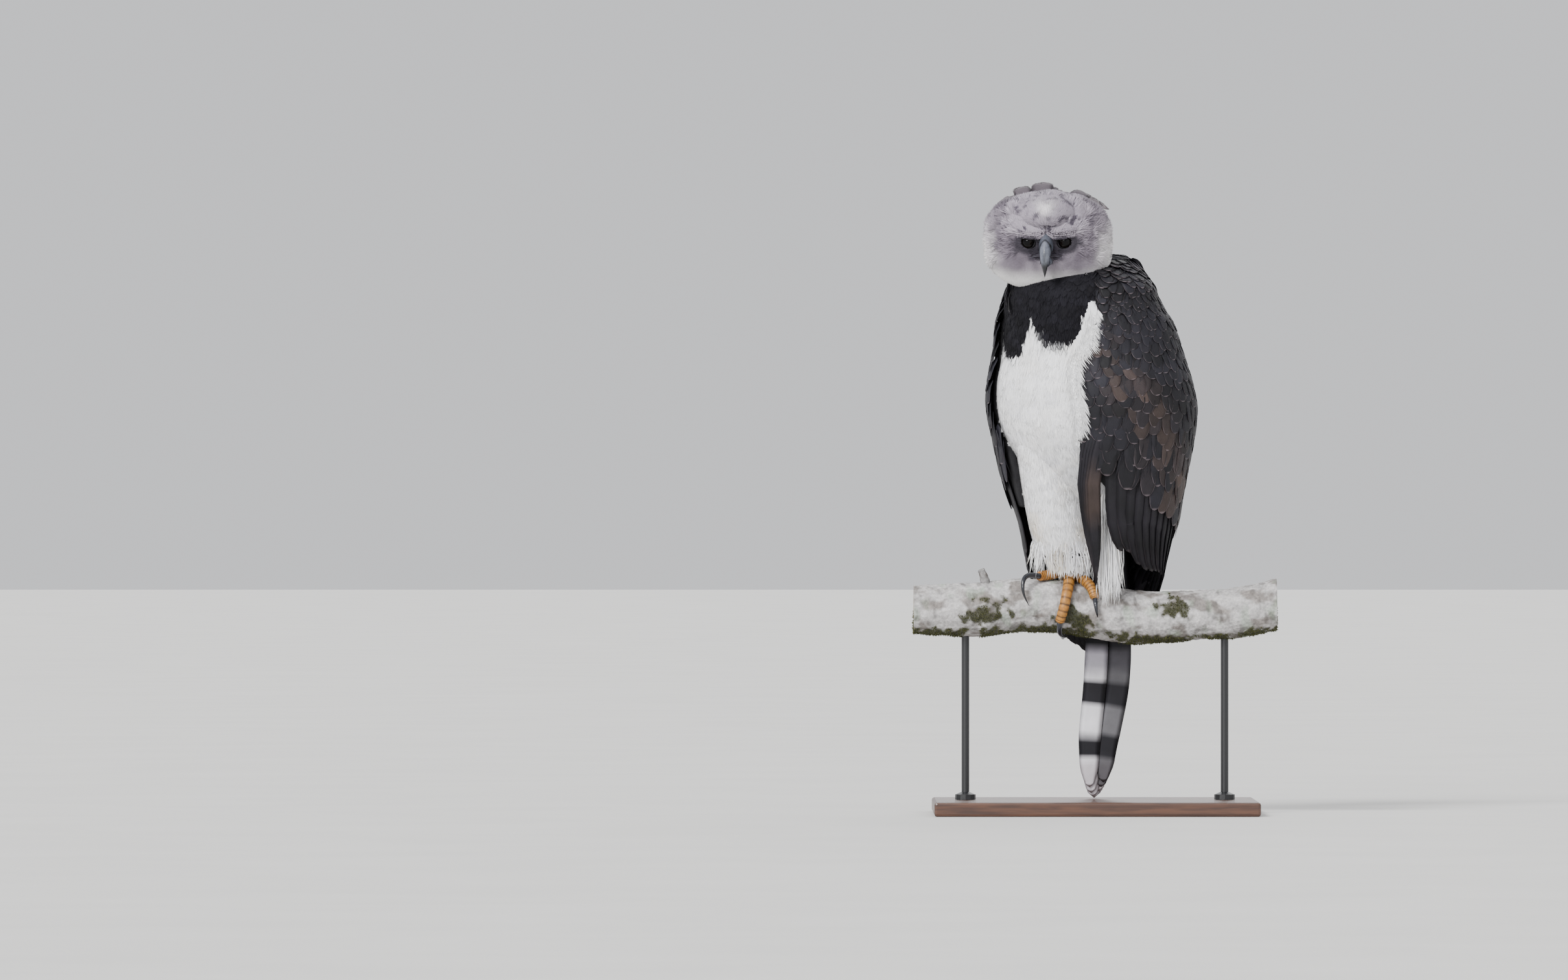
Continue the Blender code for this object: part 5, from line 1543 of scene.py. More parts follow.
@dataclass
class Face:
    """The head's coat: short face feathers, the forehead's cap, rings of rounded feathers and the crest."""

    coat: Coat
    eye_room: float = 0.0112
    lore_pitch: float = 0.0017
    lore_length: float = 0.0058
    nape_length: float = 0.034
    cap_rows: tuple = ((0, 360), (-1.95, -0.2), 0.0026, 0.0029)
    ridge: Table = metres((
        (1, 50.5, 19.5), (10, 52, 16), (20, 53.5, 16), (32, 52, 17.2), (44, 46.5, 18.6), (55, 39.5, 20.5)))
    ridges: tuple = (
        (0.048, 0.016, 0.005, ((-14, 44), (136, 194))), (0.04, 0.017, 0.0062, ((-26, 62), (118, 206))),
        (0.031, 0.018, 0.007, ((-36, 216),)), (0.021, 0.02, 0.0074, ((-45, 225),)),
        (0.01, 0.022, 0.007, ((-40, 220),)), (-0.005, 0.026, 0.0066, ((-35, 215),)))
    bands: Table = metres((
        (44, 51.3, 1.7, 2, 5.8, 1, 0), (33, 44, 2, 2.4, 8, 1.3, 0.3), (17, 33, 2.8, 3.2, 11.5, 1.9, 0.8),
        (-15, 17, 5, 5.5, 20, 4.2, 1.2), (-72, -15, 7.2, 8, 32, 6.2, 1.5)))

    def clear(self, path: Array) -> Array:
        """True for feathers that keep off the eyes and the bill."""
        right, forward, up = in_head(path)
        right = np.abs(right)
        aside = (right - EYE_AT[0]) / (self.eye_room * 0.98)
        over = (up - EYE_AT[2] - 0.1 * (right - EYE_AT[0])) / (self.eye_room * 0.92)
        eye = (aside ** 2 + over ** 2 < 1) & (forward > 0.03)
        bill = (right < 0.0098) & (up < 0.018) & (up > -0.027) & (forward > 0.03)
        mouth = (right < 0.025) & (np.abs(up + 0.0152) < 0.001) & (forward > 0.03)
        return ~(eye | bill | mouth).any(-1)

    def build(self, tree: BVHTree) -> list[Piece]:
        """Makes the coat of the head and the crest."""
        marks, finishes = self.coat.marks, self.coat.finishes
        skull, dome = Skull(), Dome()
        near, cheek, far, cap = Plumage(), Plumage(), Plumage(), Plumage()
        for k, (low, high, pitch, row, length, half, out) in enumerate(self.bands):
            places = rows_on(skull, (0, 360), (low, high), pitch, row, 51 + k)
            target = (near, cheek, cheek, far, far)[k]
            self.coat.lay(target, skull, places, length, half, marks.head, 61 + 10 * k, strands=(2, 2, 3, 5, 6)[k],
                          shape=(FUZZ, FUZZ, FUZZ, BROAD, BROAD)[k], out=out, keep=self.clear)
        places = rows_on(dome, *self.cap_rows, 55)
        self.coat.lay(cap, dome, places, 0.0095, 0.0016, marks.head, 56, strands=3, shape=FUZZ, out=0.001,
                      keep=self.clear)
        self.brows(cap)
        self.lores(near, tree)
        self.nape(far, tree)
        ruff = Plumage()
        self.rings(ruff, skull)
        return [near.make("coat_face", finishes.soft, 0.8), cheek.make("coat_cheeks", finishes.soft, 0.8),
                far.make("coat_head", finishes.soft, 0.7), cap.make("coat_forehead", finishes.soft, 0.75),
                ruff.make("coat_ruff", finishes.soft, 0.55), self.crest()]

    def brows(self, plumes: Plumage) -> None:
        """Short feathers over the ridge that shades each eye, their tips over its edge."""
        dice = np.random.default_rng(58)
        for side in (-1, 1):
            line = curve(self.ridge, 64)
            for k in range(17):
                shift = np.array((0, 0.0003 * min(k, 6), 0.0015 * k))
                right, forward, up = (line + shift + dice.normal(0, 0.0003, line.shape)).T
                root = face(side * right, forward, up)
                lifted = np.array((0.003, np.interp(k, (0, 3, 16), (0.003, 0.004, -0.003)),
                                   np.interp(k, (0, 1, 3, 6), (-0.0044, -0.0036, 0.001, 0.0056))))
                tip = face(side * (right + lifted[0]), forward + lifted[1], up + lifted[2])
                path = FUZZ.straight(root, tip)
                path = path + dice.normal(0, 0.0003, path.shape)
                tone = Coat.tones(self.coat.marks.head, path, dice) * (1.12 if k < 3 else 1.0)
                plumes.add(path, unit(face_way(0, 1.0, 0.3)), 0.0011, FUZZ, 0.6, tone, 0.0, k)

    def lores(self, plumes: Plumage, tree: BVHTree) -> None:
        """Short dark feathers between the bill and the eyes, laid away from the bill."""
        dice = np.random.default_rng(58)
        found = []
        for right in np.arange(-0.036, 0.0361, self.lore_pitch):
            for up in np.arange(-0.036, 0.018, self.lore_pitch):
                x, z = right + dice.normal(0, 0.0005), up + dice.normal(0, 0.0005)
                hit = struck(tree, face(x, 0.14, z), -face_way(0, 1.0, 0), 0.14)
                if hit is None:
                    continue
                step = face_way(*unit(np.array((x, 0.0, z + 0.004)) + dice.normal(0, 0.002, 3)))
                step = step - np.dot(step, hit[1]) * hit[1]
                found.append(FUZZ.standing(*hit, step * self.lore_length, 0.0012, 0.0014))
        path, normal = map(np.array, zip(*found))
        stays = self.clear(path)
        path, normal = path[stays], normal[stays]
        tone = Coat.tones(self.coat.marks.head, path, dice)
        plumes.add(path, normal, 0.001, FUZZ, 0.55, tone, 0.0, 58)
        fine = path + dice.normal(0, 0.0004, path.shape) + normal * 0.0007
        plumes.add(fine, normal, 0.0004, FUZZ, 0.55, tone * 0.8, 0.0, 59)

    def nape(self, plumes: Plumage, tree: BVHTree) -> None:
        """Long dark feathers that hang from the back of the head."""
        dice = np.random.default_rng(57)
        found = []
        for up in np.arange(-0.052, 0.052, 0.0075):
            for right in np.arange(-0.054, 0.055, 0.0085):
                x = right + 0.5 * (len(found) % 2) * 0.004 + dice.normal(0, 0.001)
                hit = struck(tree, face(x, -0.18, up + dice.normal(0, 0.001)), face_way(0, 1.0, 0), 0.2)
                if hit is None:
                    continue
                step = unit(-UP + hit[1] * np.dot(UP, hit[1]) + dice.normal(0, 0.05, 3))
                found.append(SCALE.standing(*hit, step * self.nape_length, 0.0005, 0.0065))
        path, normal = map(np.array, zip(*found))
        tone = Coat.tones(self.coat.marks.head, path, dice)
        plumes.add(path, normal, 0.0088, SCALE, 0.3, tone, 0.0004, 57)

    def rings(self, plumes: Plumage, skull: Skull) -> None:
        """Soft scalloped ridges that stand round the face, each darkened at its foot as painted shadow and pale at
        its rim.
        """
        for number, (start, length, out, spans) in enumerate(self.ridges):
            dice = np.random.default_rng(160 + number)
            a = np.concatenate([np.tile(np.arange(low, high, 1.9), 2) for low, high in spans])
            a = a + dice.normal(0, 0.5, len(a))
            lobe = np.abs(np.sin(np.radians(a) * (9 - 0.5 * number) + number))
            b = start - 0.0045 * (1 - lobe) + dice.normal(0, 0.0009, len(a))
            stand = out * (0.55 + 0.45 * lobe) * dice.uniform(0.75, 1.0, len(a))
            path, normal = flow(skull, a % 360, b, length * dice.uniform(0.85, 1.1, len(a)), FUZZ,
                                dice.normal(0, 0.1, len(a)), stand)
            # Painted shadow: darker at the foot of each ridge, lighter towards its tip.
            tone = Coat.tones(self.coat.marks.head, path, dice) * (0.62 + 0.6 * FUZZ.run[None, :, None])
            plumes.add(path, normal, 0.0024 * dice.uniform(0.8, 1.1, len(a)), FUZZ, skull.tile(a % 360, b), tone,
                       0.0, number)
            for fan in (-0.45, -0.15, 0.15, 0.45):
                way = fan + dice.normal(0, 0.08, len(a))
                path, normal = flow(skull, a % 360, b, length * dice.uniform(0.9, 1.25, len(a)), STRAND, way, stand)
                # Painted shadow: the strands too are darker at their foot, lighter towards their tip.
                tone = Coat.tones(self.coat.marks.head, path, dice) * (0.62 + 0.66 * STRAND.run[None, :, None])
                plumes.add(path, normal, 0.0006, STRAND, skull.tile(a % 360, b), tone, 0.0, number)

    def crest(self) -> Piece:
        """The long rounded crest feathers, raised a little, and their loose barbs."""
        dice = np.random.default_rng(60)
        plumes = Plumage()
        along = (0.02, 0.18, 0.38, 0.58, 0.76, 0.9, 0.97)
        shape = Shape(along, (0.45, 0.72, 0.92, 1.0, 0.95, 0.72, 0.42), (0.0,) * 7, Cut.VANE, 0.14, 0.0006)
        for number, row in enumerate(CREST):
            for twin, shift in enumerate((0.0, 0.01, -0.009)):
                root, tip = np.array(row[:3]), np.array(row[3:6])
                tip = tip + np.array((shift, -0.004 * twin, -0.007 * twin))
                root = root + np.array((shift * 0.6, -0.003 * twin, -0.004 * twin))
                middle = (root + tip) / 2 + np.array((0, -0.006, 0.01))
                spine = curve((root, middle, tip), 8)
                path = face(spine[:, 0], spine[:, 1], spine[:, 2])[None]
                normal = np.broadcast_to(unit(face_way(0, 0.35, 1.0)), path.shape)
                base = mixed("4a444c", "6f656c", np.array(dice.uniform(0, 1)))
                share = np.linspace(0, 1, 8)[:, None]
                spots = np.clip(0.5 + 0.9 * noise(path[0], 0.012, 19 + number), 0, 1)[:, None]
                tone = (base * (1.15 - 0.75 * spots) * (1 - 0.3 * share) + ink("a59da1") * 0.3 * share ** 2)[None]
                plumes.add(path, normal, np.array((row[6] * (0.92 - 0.1 * twin),)), shape, 0.1 * number + 0.05,
                           tone, 0.0, number)
                self.barbs(plumes, path, normal, row[6] * 0.9, tone, dice)
        return plumes.make("crest_feathers", self.coat.finishes.slate)

    @staticmethod
    def barbs(plumes: Plumage, path: Array, normal: Array, half: float, tone: Array, dice: Dice) -> None:
        """Fine barbs that run from the shaft over the rounded tip."""
        count = 150
        across = np.linspace(-1, 1, count)
        t = np.clip(6.75 - 3.9 * np.abs(across) ** 1.7, 0, 6.99)
        low = t.astype(int)
        middle = path[0, low] + (path[0, low + 1] - path[0, low]) * (t - low)[:, None]
        along = unit(path[0, 7] - path[0, 3])
        side = unit(np.cross(along, normal[0, 4]))
        share = np.interp(t, range(8), (0.45, 0.72, 0.92, 1.0, 0.95, 0.72, 0.42, 0.2))
        start = middle + side * (half * share * 0.86 * np.tanh(across * 3))[:, None]
        turn = across * 0.85 + dice.normal(0, 0.12, count)
        way = along * np.cos(turn)[:, None] + side * np.sin(turn)[:, None]
        tip = start + way * dice.uniform(0.003, 0.0052, (count, 1))
        shade = tone[:, 6:7] * dice.uniform(0.8, 1.4, (count, 1, 1))
        plumes.add(STRAND.straight(start, tip), normal[:, 4:5], 0.0005, STRAND, 0.4, shade, 0.0, 3)


@dataclass
class Bill:
    """The deep hooked bill: a waxy cere at its root, slit nostrils, grey horn and a black tip."""

    finishes: Finishes
    rows: int = 64
    sides: int = 48
    cere_end: float = 2.25
    cere_swell: float = 0.07
    slim: float = 0.78
    groove: float = 0.17
    lip: Table = (
        (0.006, 0.0545, -0.0138, 1.0), (0.012, 0.0538, -0.0133, 1.0), (0.018, 0.0522, -0.0148, 0.8),
        (0.0235, 0.0492, -0.0172, 0.4))
    nostril: tuple[float, float] = (2.3, 1.35)
    nostril_size: tuple[float, float] = (0.24, 0.26)

    def half(self, table: Table, tip: tuple[float, float], upper: bool) -> Triple:
        """Points, triangles and colours of one half of the bill."""
        profile = Profile([(k, *row) for k, row in enumerate(table)])
        along = np.linspace(0, len(table) - 1, self.rows)
        turn = np.linspace(0, 2 * math.pi, self.sides, endpoint=False)
        s, a = np.meshgrid(along, turn, indexing="ij")
        row = profile.at(s)
        down = (1 - np.cos(a)) / 2
        ridge = 1 - 0.22 * np.clip(np.cos(a), 0, 1) ** 6 * upper
        bulge = np.sin(a) * (0.8 + 0.3 * down) * ridge
        right = row[..., 4] * self.slim * bulge
        forward = row[..., 0] + (row[..., 2] - row[..., 0]) * down
        up = row[..., 1] + (row[..., 3] - row[..., 1]) * down
        colour = mixed("5c606c", "71757f", np.clip(0.5 + 0.5 * noise(face(right, forward, up), 0.008, 15), 0, 1))
        if upper:
            edge = self.cere_end + 1.1 * down
            cere = 1 - ramp(s, edge - 0.06, edge + 0.06)
            right = right * (1 + self.cere_swell * cere)
            up = up + 0.0006 * cere * np.cos(a)
            groove = np.exp(-((s - edge) / self.groove) ** 2)
            (along, round_it), (long, tall) = self.nostril, self.nostril_size
            slot = np.minimum(np.abs(a - round_it), np.abs(a - (2 * math.pi - round_it)))
            nostril = np.exp(-(((s - along) / long) ** 2 + (slot / tall) ** 2) ** 2)
            right = right * (1 - 0.1 * nostril)
            # Black at the tip, and painted shadow down the ridge from s 3 to 4.6.
            black = np.maximum(ramp(s, 4.6, 6.0), 0.75 * ramp(s, 3.0, 4.6) * np.clip(np.cos(a), 0, 1) ** 8)
            lip = ramp(down, 0.9, 0.98) * (1 - ramp(s, 3.5, 4.5))
            colour = layered(colour, ("555963", cere), ("0f1014", 0.95 * groove),
                             ("0d0d10", np.clip(1.4 * nostril, 0, 1)), ("111217", black), ("3c3f48", 0.7 * lip))
        else:
            colour = mixed(colour, "2f333b", ramp(s, 1.8, 3.0))
        rings = face(right, forward, up)
        points, tris = skin_of(rings, (rings[0].mean(0), face(0.0, *tip)))
        ends = np.stack((colour[0, 0], ink("0e0f13") if upper else ink("2f333b")))
        return points, tris, np.concatenate((colour.reshape(-1, 3), ends))

    def build(self) -> list[Piece]:
        """Makes both halves and the lips at the gape."""
        made = []
        for name, table, tip, upper in (("upper_bill", BILL_UPPER, BILL_UPPER_TIP, True),
                                        ("lower_bill", BILL_LOWER, BILL_LOWER_TIP, False)):
            points, tris, colours = self.half(table, tip, upper)
            obj = solid(name, points, tris, self.finishes.horn)
            paint(obj, "plume", colours)
            made.append(obj)
        made.append(self.lips())
        return made

    def lips(self) -> Piece:
        """The soft grey skin that runs back from the mouth, its line dark between two rolls."""
        body = []
        for side in (-1, 1):
            for up, radius, code in ((0.0008, 0.001, "3b3840"), (-0.0009, 0.0011, "4a474f"),
                                     (0.0001, 0.001, "100f12")):
                marks = [(*at, low + up * share) for *at, low, share in self.lip]
                right, forward, lift = curve(marks, 22).T
                path = face(side * right, forward, lift)
                body.append(roll(path, radius, (0, 0.2, 0.8, 1), (1.0, 1.1, 0.8, 0.2), 12, code))
        return gathered("gape_lips", body, self.finishes.dark)


def gathered(name: str, parts: list[Triple], finish: Material) -> Piece:
    """One object from several closed bodies, each points, triangles and colours."""
    points, tris = joined([part[:2] for part in parts])
    obj = solid(name, points, tris, finish)
    paint(obj, "plume", np.concatenate([part[2] for part in parts]))
    return obj


@dataclass
class Eyes:
    """Dark brown eyes set under the brow, with a black pupil, a wet gloss and dark lids."""

    finishes: Finishes
    sides: int = 64
    rows: int = 40
    pupil: tuple[float, float] = (0.42, 0.5)
    rim: tuple[float, float] = (0.74, 0.88)
    swell: float = 0.045

    def build(self) -> list[Piece]:
        """Makes both eyes and their lids."""
        made = []
        for name, side in (("right_eye", -1), ("left_eye", 1)):
            polar = np.linspace(math.pi / self.rows, math.pi * (1 - 1 / self.rows), self.rows)
            turn = np.linspace(0, 2 * math.pi, self.sides, endpoint=False)
            p, a = np.meshgrid(polar, turn, indexing="ij")
            bulge = 1 + self.swell * np.exp(-(p / 0.5) ** 2)
            look = unit(np.array((side * 0.3, 1.0, 0.0)))
            cross = unit(np.cross(look, UP))
            around = cross * np.cos(a)[..., None] + UP * np.sin(a)[..., None]
            way = (look * np.cos(p)[..., None] + around * np.sin(p)[..., None]) * bulge[..., None]
            place = np.array((side * EYE_AT[0], *EYE_AT[1:])) + EYE_RADIUS * way
            rings = face(place[..., 0], place[..., 1], place[..., 2])
            rays = 0.5 + 0.5 * np.sin(a * 46) * np.sin(a * 17 + 2)
            iris = mixed("080504", "100a07", rays)
            colour = mixed("040304", iris, ramp(p, *self.pupil))
            colour = mixed(colour, "070506", ramp(p, *self.rim))
            points, tris = skin_of(rings, (rings[0].mean(0), rings[-1].mean(0)))
            ends = np.stack((ink("060506"), ink("0c090a")))
            obj = solid(name, points, tris, self.finishes.eye)
            paint(obj, "plume", np.concatenate((colour.reshape(-1, 3), ends)))
            made.append(obj)
        made.append(self.lids())
        return made

    def lids(self) -> Piece:
        """Bare wrinkled lids round each eye, thicker below, and the bony ridge above."""
        parts = []
        for side in (-1, 1):
            for radius, thick, first, last, deep in (
                    (0.0105, 0.001, 150, 375, 0.0082), (0.0104, 0.0014, 5, 165, 0.0092)):
                turn = np.radians(np.linspace(first, last, 40))
                right = EYE_AT[0] + radius * 1.02 * np.cos(turn)
                up = EYE_AT[2] + radius * 0.86 * np.sin(turn) + 0.12 * radius * np.cos(turn)
                forward = EYE_AT[1] + deep - 0.1 * (right - EYE_AT[0])
                path = face(side * right, forward, up)
                parts.append(roll(path, thick, (0, 0.2, 0.8, 1), (0.5, 1.0, 1.0, 0.5), 12, "0a090b"))
        return gathered("eyelids", parts, self.finishes.dark)


def on_perch(x: Array, turn: Array, lift: Array) -> Array:
    """Points at degrees from the branch's top towards -Y and that far above its bark."""
    row = Profile(PERCH).at(x)
    turn = np.radians(turn)
    far = row[..., 1] + lift
    return np.stack(np.broadcast_arrays(x, -far * np.sin(turn), row[..., 0] + far * np.cos(turn)), -1)


@dataclass
class Feet:
    """The standing foot on the branch and the clenched foot under the belly, with their claws."""

    finishes: Finishes
    rings: int = 96
    sides: int = 28

    def toe(self, path: Array, radius: float, scutes: int) -> Triple:
        """A toe whose ring scales stand out, with dark grooves between them."""
        t = np.linspace(0, 1, len(path))
        wave = (t * scutes) % 1
        size = radius * (1.12 - 0.24 * t) * (0.955 + 0.055 * np.sin(math.pi * wave) ** 0.7)
        size = size * np.interp(t, (0, 0.84, 0.93, 1.0), (1, 1, 0.86, 0.66))
        points, tris = tube(path, size, self.sides)
        groove = np.minimum(wave, 1 - wave)
        shade = mixed("43290f", "b0782f", ramp(groove, 0.0, 0.24))
        shade = mixed(shade, "a86a1e", np.clip(noise(path, 0.01, 16), 0, 1) * 0.6)
        colour = np.repeat(shade[:-1], self.sides, axis=0)
        return points, tris, np.concatenate((colour, shade[:1], shade[-1:]))

    def shank(self, marks: Table, radius: float) -> Triple:
        """The bare lower end of a leg."""
        return roll(curve(marks, 30), radius, (0, 0.25, 1), (0.85, 1.1, 1.0), self.sides, "bd7f2c")

    def claw(self, path: Array, radius: float) -> Triple:
        """A curved claw, round above and hollowed a little below, black with a worn tip."""
        size = radius * np.interp(np.linspace(0, 1, len(path)), (0, 0.2, 0.4, 0.6, 0.8, 1),
                                  (1.0, 0.95, 0.8, 0.6, 0.34, 0.05))
        points, tris = tube(path, size, 24)
        share = np.repeat(np.linspace(0, 1, len(path) - 1), 24)
        colour = mixed("24262e", "0f1014", share)
        return points, tris, np.concatenate((colour, colour[:1], colour[-1:]))

    def build(self) -> list[Piece]:
        """Makes both feet and the eight claws."""
        parts = [self.shank(TARSUS, TARSUS_RADIUS)]
        for marks, claw in zip(STANDING_TOES, STANDING_CLAWS):
            spine = on_perch(*curve((*marks, claw[0]), self.rings).T)
            parts.append(self.toe(spine, TOE_RADIUS, 13))
        made = [gathered("standing_foot", parts, self.finishes.foot)]
        for k, marks in enumerate(STANDING_CLAWS):
            spine = on_perch(*curve(marks, 40).T)
            made.append(gathered(f"talon_right_{k + 1}", [self.claw(spine, CLAW_RADIUS * (0.8 if k == 2 else 1.0))],
                                 self.finishes.claw))
        return made + self.fist()

    def fist(self) -> list[Piece]:
        """The other foot, its toes curled under."""
        def at(right: float, ahead: float, up: float) -> Array:
            """A point in the clenched foot's frame."""
            return FIST_AT + LEFT * right + AHEAD * ahead + UP * up

        parts = [self.shank((at(0, 0, 0), at(0, -0.004, 0.01), at(0, -0.006, 0.03)), TARSUS_RADIUS * 0.9)]
        ends = []
        for side, lean in FIST_TOES:
            marks = (at(side * 0.5, 0, 0.002), at(side, 0.016, -0.004), at(side + lean * 0.5, 0.02, -0.022))
            side += lean * 0.5
            parts.append(self.toe(curve((*marks, at(side, 0.02, -0.028)), 60), TOE_RADIUS * 0.86, 8))
            ends.append((at(side, 0.02, -0.026), at(side, 0.019, -0.034), at(side, 0.008, -0.042)))
        marks = (at(0, -0.004, 0.004), at(0, -0.016, -0.006), at(0, -0.015, -0.02))
        parts.append(self.toe(curve(marks, 60), TOE_RADIUS * 0.86, 6))
        ends.append((at(0, -0.015, -0.025), at(0, -0.014, -0.034), at(0, -0.004, -0.041)))
        made = [gathered("clenched_foot", parts, self.finishes.foot)]
        for k, marks in enumerate(ends):
            made.append(gathered(f"talon_left_{k + 1}", [self.claw(curve(marks, 30), CLAW_RADIUS * 0.85)],
                                 self.finishes.claw))
        return made


@dataclass
class Branch:
    """A cut length of branch with its stub, dry bark, pale lichen and cushions of moss."""

    finishes: Finishes
    rows: int = 420
    sides: int = 150
    relief: float = 0.0016
    cut_from: float = 0.2795
    cushions: Table = metres(((-168, -6, 34, 20), (122, 12, 30, 16), (-35, -16, 30, 20), (45, -30, 18, 12)))
    stub_radii: tuple[float, float] = (0.008, 0.0052)
    blade_density: float = 260000.0
    blade_height: float = 0.003
    blade_width: float = 0.0006

    def moss_at(self, point: Array) -> Array:
        """How mossy the bark is at some places, from 0 to 1."""
        x, y, z = point[..., 0], point[..., 1], point[..., 2]
        middle = Profile(PERCH).at(x)[..., 0]
        rough = 0.5 * noise(point, 0.02, 21)
        share = np.zeros_like(x)
        for px, pz, wide, tall in self.cushions:
            near = 1 - np.sqrt(((x - px) / wide) ** 2 + ((z - middle - pz) / tall) ** 2) + rough * 1.4
            share = np.maximum(share, ramp(near, 0.0, 0.5) * (y < 0.01))
        under = ramp(middle - z + 0.012 * rough, 0.026, 0.034) * ramp(noise(point, 0.06, 22), -0.6, 0.2)
        return np.clip(np.maximum(share, under), 0, 1)

    def build(self) -> list[Piece]:
        """Makes the branch and the moss on it."""
        x = np.linspace(PERCH[0][0], PERCH[-1][0], self.rows)
        turn = np.linspace(0, 360, self.sides, endpoint=False)
        xs, turns = np.meshgrid(x, turn, indexing="ij")
        flat = on_perch(xs, turns, np.zeros_like(xs))
        deep = 0.6 * noise(flat, 0.035, 23) + 0.35 * noise(flat, 0.012, 24) + 0.2 * noise(flat, 0.005, 25)
        rings = on_perch(xs, turns, self.relief * deep - 0.0006)
        ends = np.array((x[0], x[-1]))
        ends = on_perch(ends, np.zeros(2), -Profile(PERCH).at(ends)[..., 1])
        points, tris = skin_of(rings, (ends[0], ends[1]))
        out = np.linspace(0, 1, 20)
        stub_path = on_perch(-0.166 - 0.01 * out, np.full(20, 11.5), -0.01 + 0.032 * out)
        stub_points, stub_tris = tube(stub_path, np.interp(out, (0, 1), self.stub_radii), 20)
        stub_points = stub_points + noise(stub_points, 0.006, 26)[:, None] * 0.0005
        parts = [(points, tris, self.tones(points)), (stub_points, stub_tris, self.tones(stub_points) * 0.6)]
        branch = gathered("branch", parts, self.finishes.bark)
        return [branch, self.grow(branch)]

    def tones(self, point: Array) -> Array:
        """Colours of the bark: crusted lichen, bare grey bark, moss stains and the pale cut ends."""
        lichen = ramp(noise(point, 0.05, 27) + 0.5 * noise(point, 0.016, 28), -0.7, 0.1)
        colour = mixed("857f7b", "bab7b6", lichen)
        green = ramp(noise(point, 0.04, 29), 0.3, 1.0)
        dark = ramp(noise(point, 0.022, 30), 0.45, 0.9)
        colour = layered(colour, ("8fa08c", 0.45 * green), ("4a4541", 0.5 * dark),
                         ("34351d", 0.9 * self.moss_at(point)))
        middle = Profile(PERCH).at(point[..., 0])
        radius = np.linalg.norm(np.stack((point[..., 1], point[..., 2] - middle[..., 0]), -1), axis=-1)
        cut = (np.abs(point[..., 0]) > self.cut_from) & (radius < middle[..., 1] - 0.004)
        return mixed(colour, "b08d5c", cut.astype(float))

    def grow(self, branch: Piece) -> Piece:
        """Scatters moss leaflets over the mossy bark with a node tree."""
        point = points_of(branch)
        host = branch.copy()
        host.data = branch.data.copy()
        host.name = "moss"
        bpy.context.scene.collection.objects.link(host)
        layer = host.data.attributes.new("mossy", "FLOAT", "POINT")
        mossy = ramp(self.moss_at(point), 0.35, 0.8)
        layer.data.foreach_set("value", mossy.astype(np.float32))
        return scatter(host, self.finishes.moss, self.blade_density, self.blade_height, self.blade_width, 5,
                       "mossy")


def scatter(host: Piece, finish: Material, density: float, height: float, width: float, seed: int,
            attribute: str) -> Piece:
    """Grows small upright blades over a mesh with a node tree, and keeps only the blades.

    Args:
        host: the mesh to grow on, which is used up.
        finish: the blades' material.
        density: blades to a square metre.
        height: a blade's height.
        width: a blade's width at its root.
        seed: seed of the scatter.
        attribute: names the host's weight for the density.

    Returns:
        The blades as one object.
    """
    tree = bpy.data.node_groups.new(host.name, "GeometryNodeTree")
    face_in = tree.interface.new_socket("Geometry", in_out="INPUT", socket_type="NodeSocketGeometry")
    sizes = {}
    for label in ("Density", "Height", "Width"):
        sizes[label] = tree.interface.new_socket(label, in_out="INPUT", socket_type="NodeSocketFloat").identifier
    tree.interface.new_socket("Geometry", in_out="OUTPUT", socket_type="NodeSocketGeometry")
    start = add(tree, "NodeGroupInput")
    weight = add(tree, "GeometryNodeInputNamedAttribute", {"data_type": "FLOAT"}, Name=attribute)
    dense = sums(tree, "MULTIPLY", weight.outputs[0], start.outputs["Density"])
    spots = add(tree, "GeometryNodeDistributePointsOnFaces", {"distribute_method": "RANDOM"},
                Mesh=start.outputs[face_in.name],
                Density=dense, Seed=seed)
    blade = add(tree, "GeometryNodeMeshCone", Vertices=4, Radius_Bottom=start.outputs["Width"],
                Depth=start.outputs["Height"])
    lean = add(tree, "FunctionNodeRandomValue", {"data_type": "FLOAT_VECTOR"}, s0=(-0.7, -0.7, 0.0),
               s1=(0.7, 0.7, 6.28), Seed=seed + 1)
    size = add(tree, "FunctionNodeRandomValue", {"data_type": "FLOAT"}, s2=0.5, s3=1.3, Seed=seed + 2)
    turned = add(tree, "FunctionNodeRotateRotation", {"rotation_space": "LOCAL"},
                 Rotation=spots.outputs["Rotation"],
                 Rotate_By=lean.outputs[0])
    grown = add(tree, "GeometryNodeInstanceOnPoints", Points=spots.outputs["Points"],
                Instance=blade.outputs["Mesh"],
                Rotation=turned.outputs[0], Scale=size.outputs[1])
    real = add(tree, "GeometryNodeRealizeInstances", Geometry=grown.outputs[0])
    dressed = add(tree, "GeometryNodeSetMaterial", Geometry=real.outputs[0], Material=finish)
    add(tree, "NodeGroupOutput", Geometry=dressed.outputs[0])
    grow = host.modifiers.new("grow", "NODES")
    grow.node_group = tree
    for label, value in (("Density", density), ("Height", height), ("Width", width)):
        grow[sizes[label]] = value
    apply_modifiers(host)
    if not host.data.materials:
        host.data.materials.append(finish)
    log.info("%s: %d faces", host.name, len(host.data.polygons))
    return host


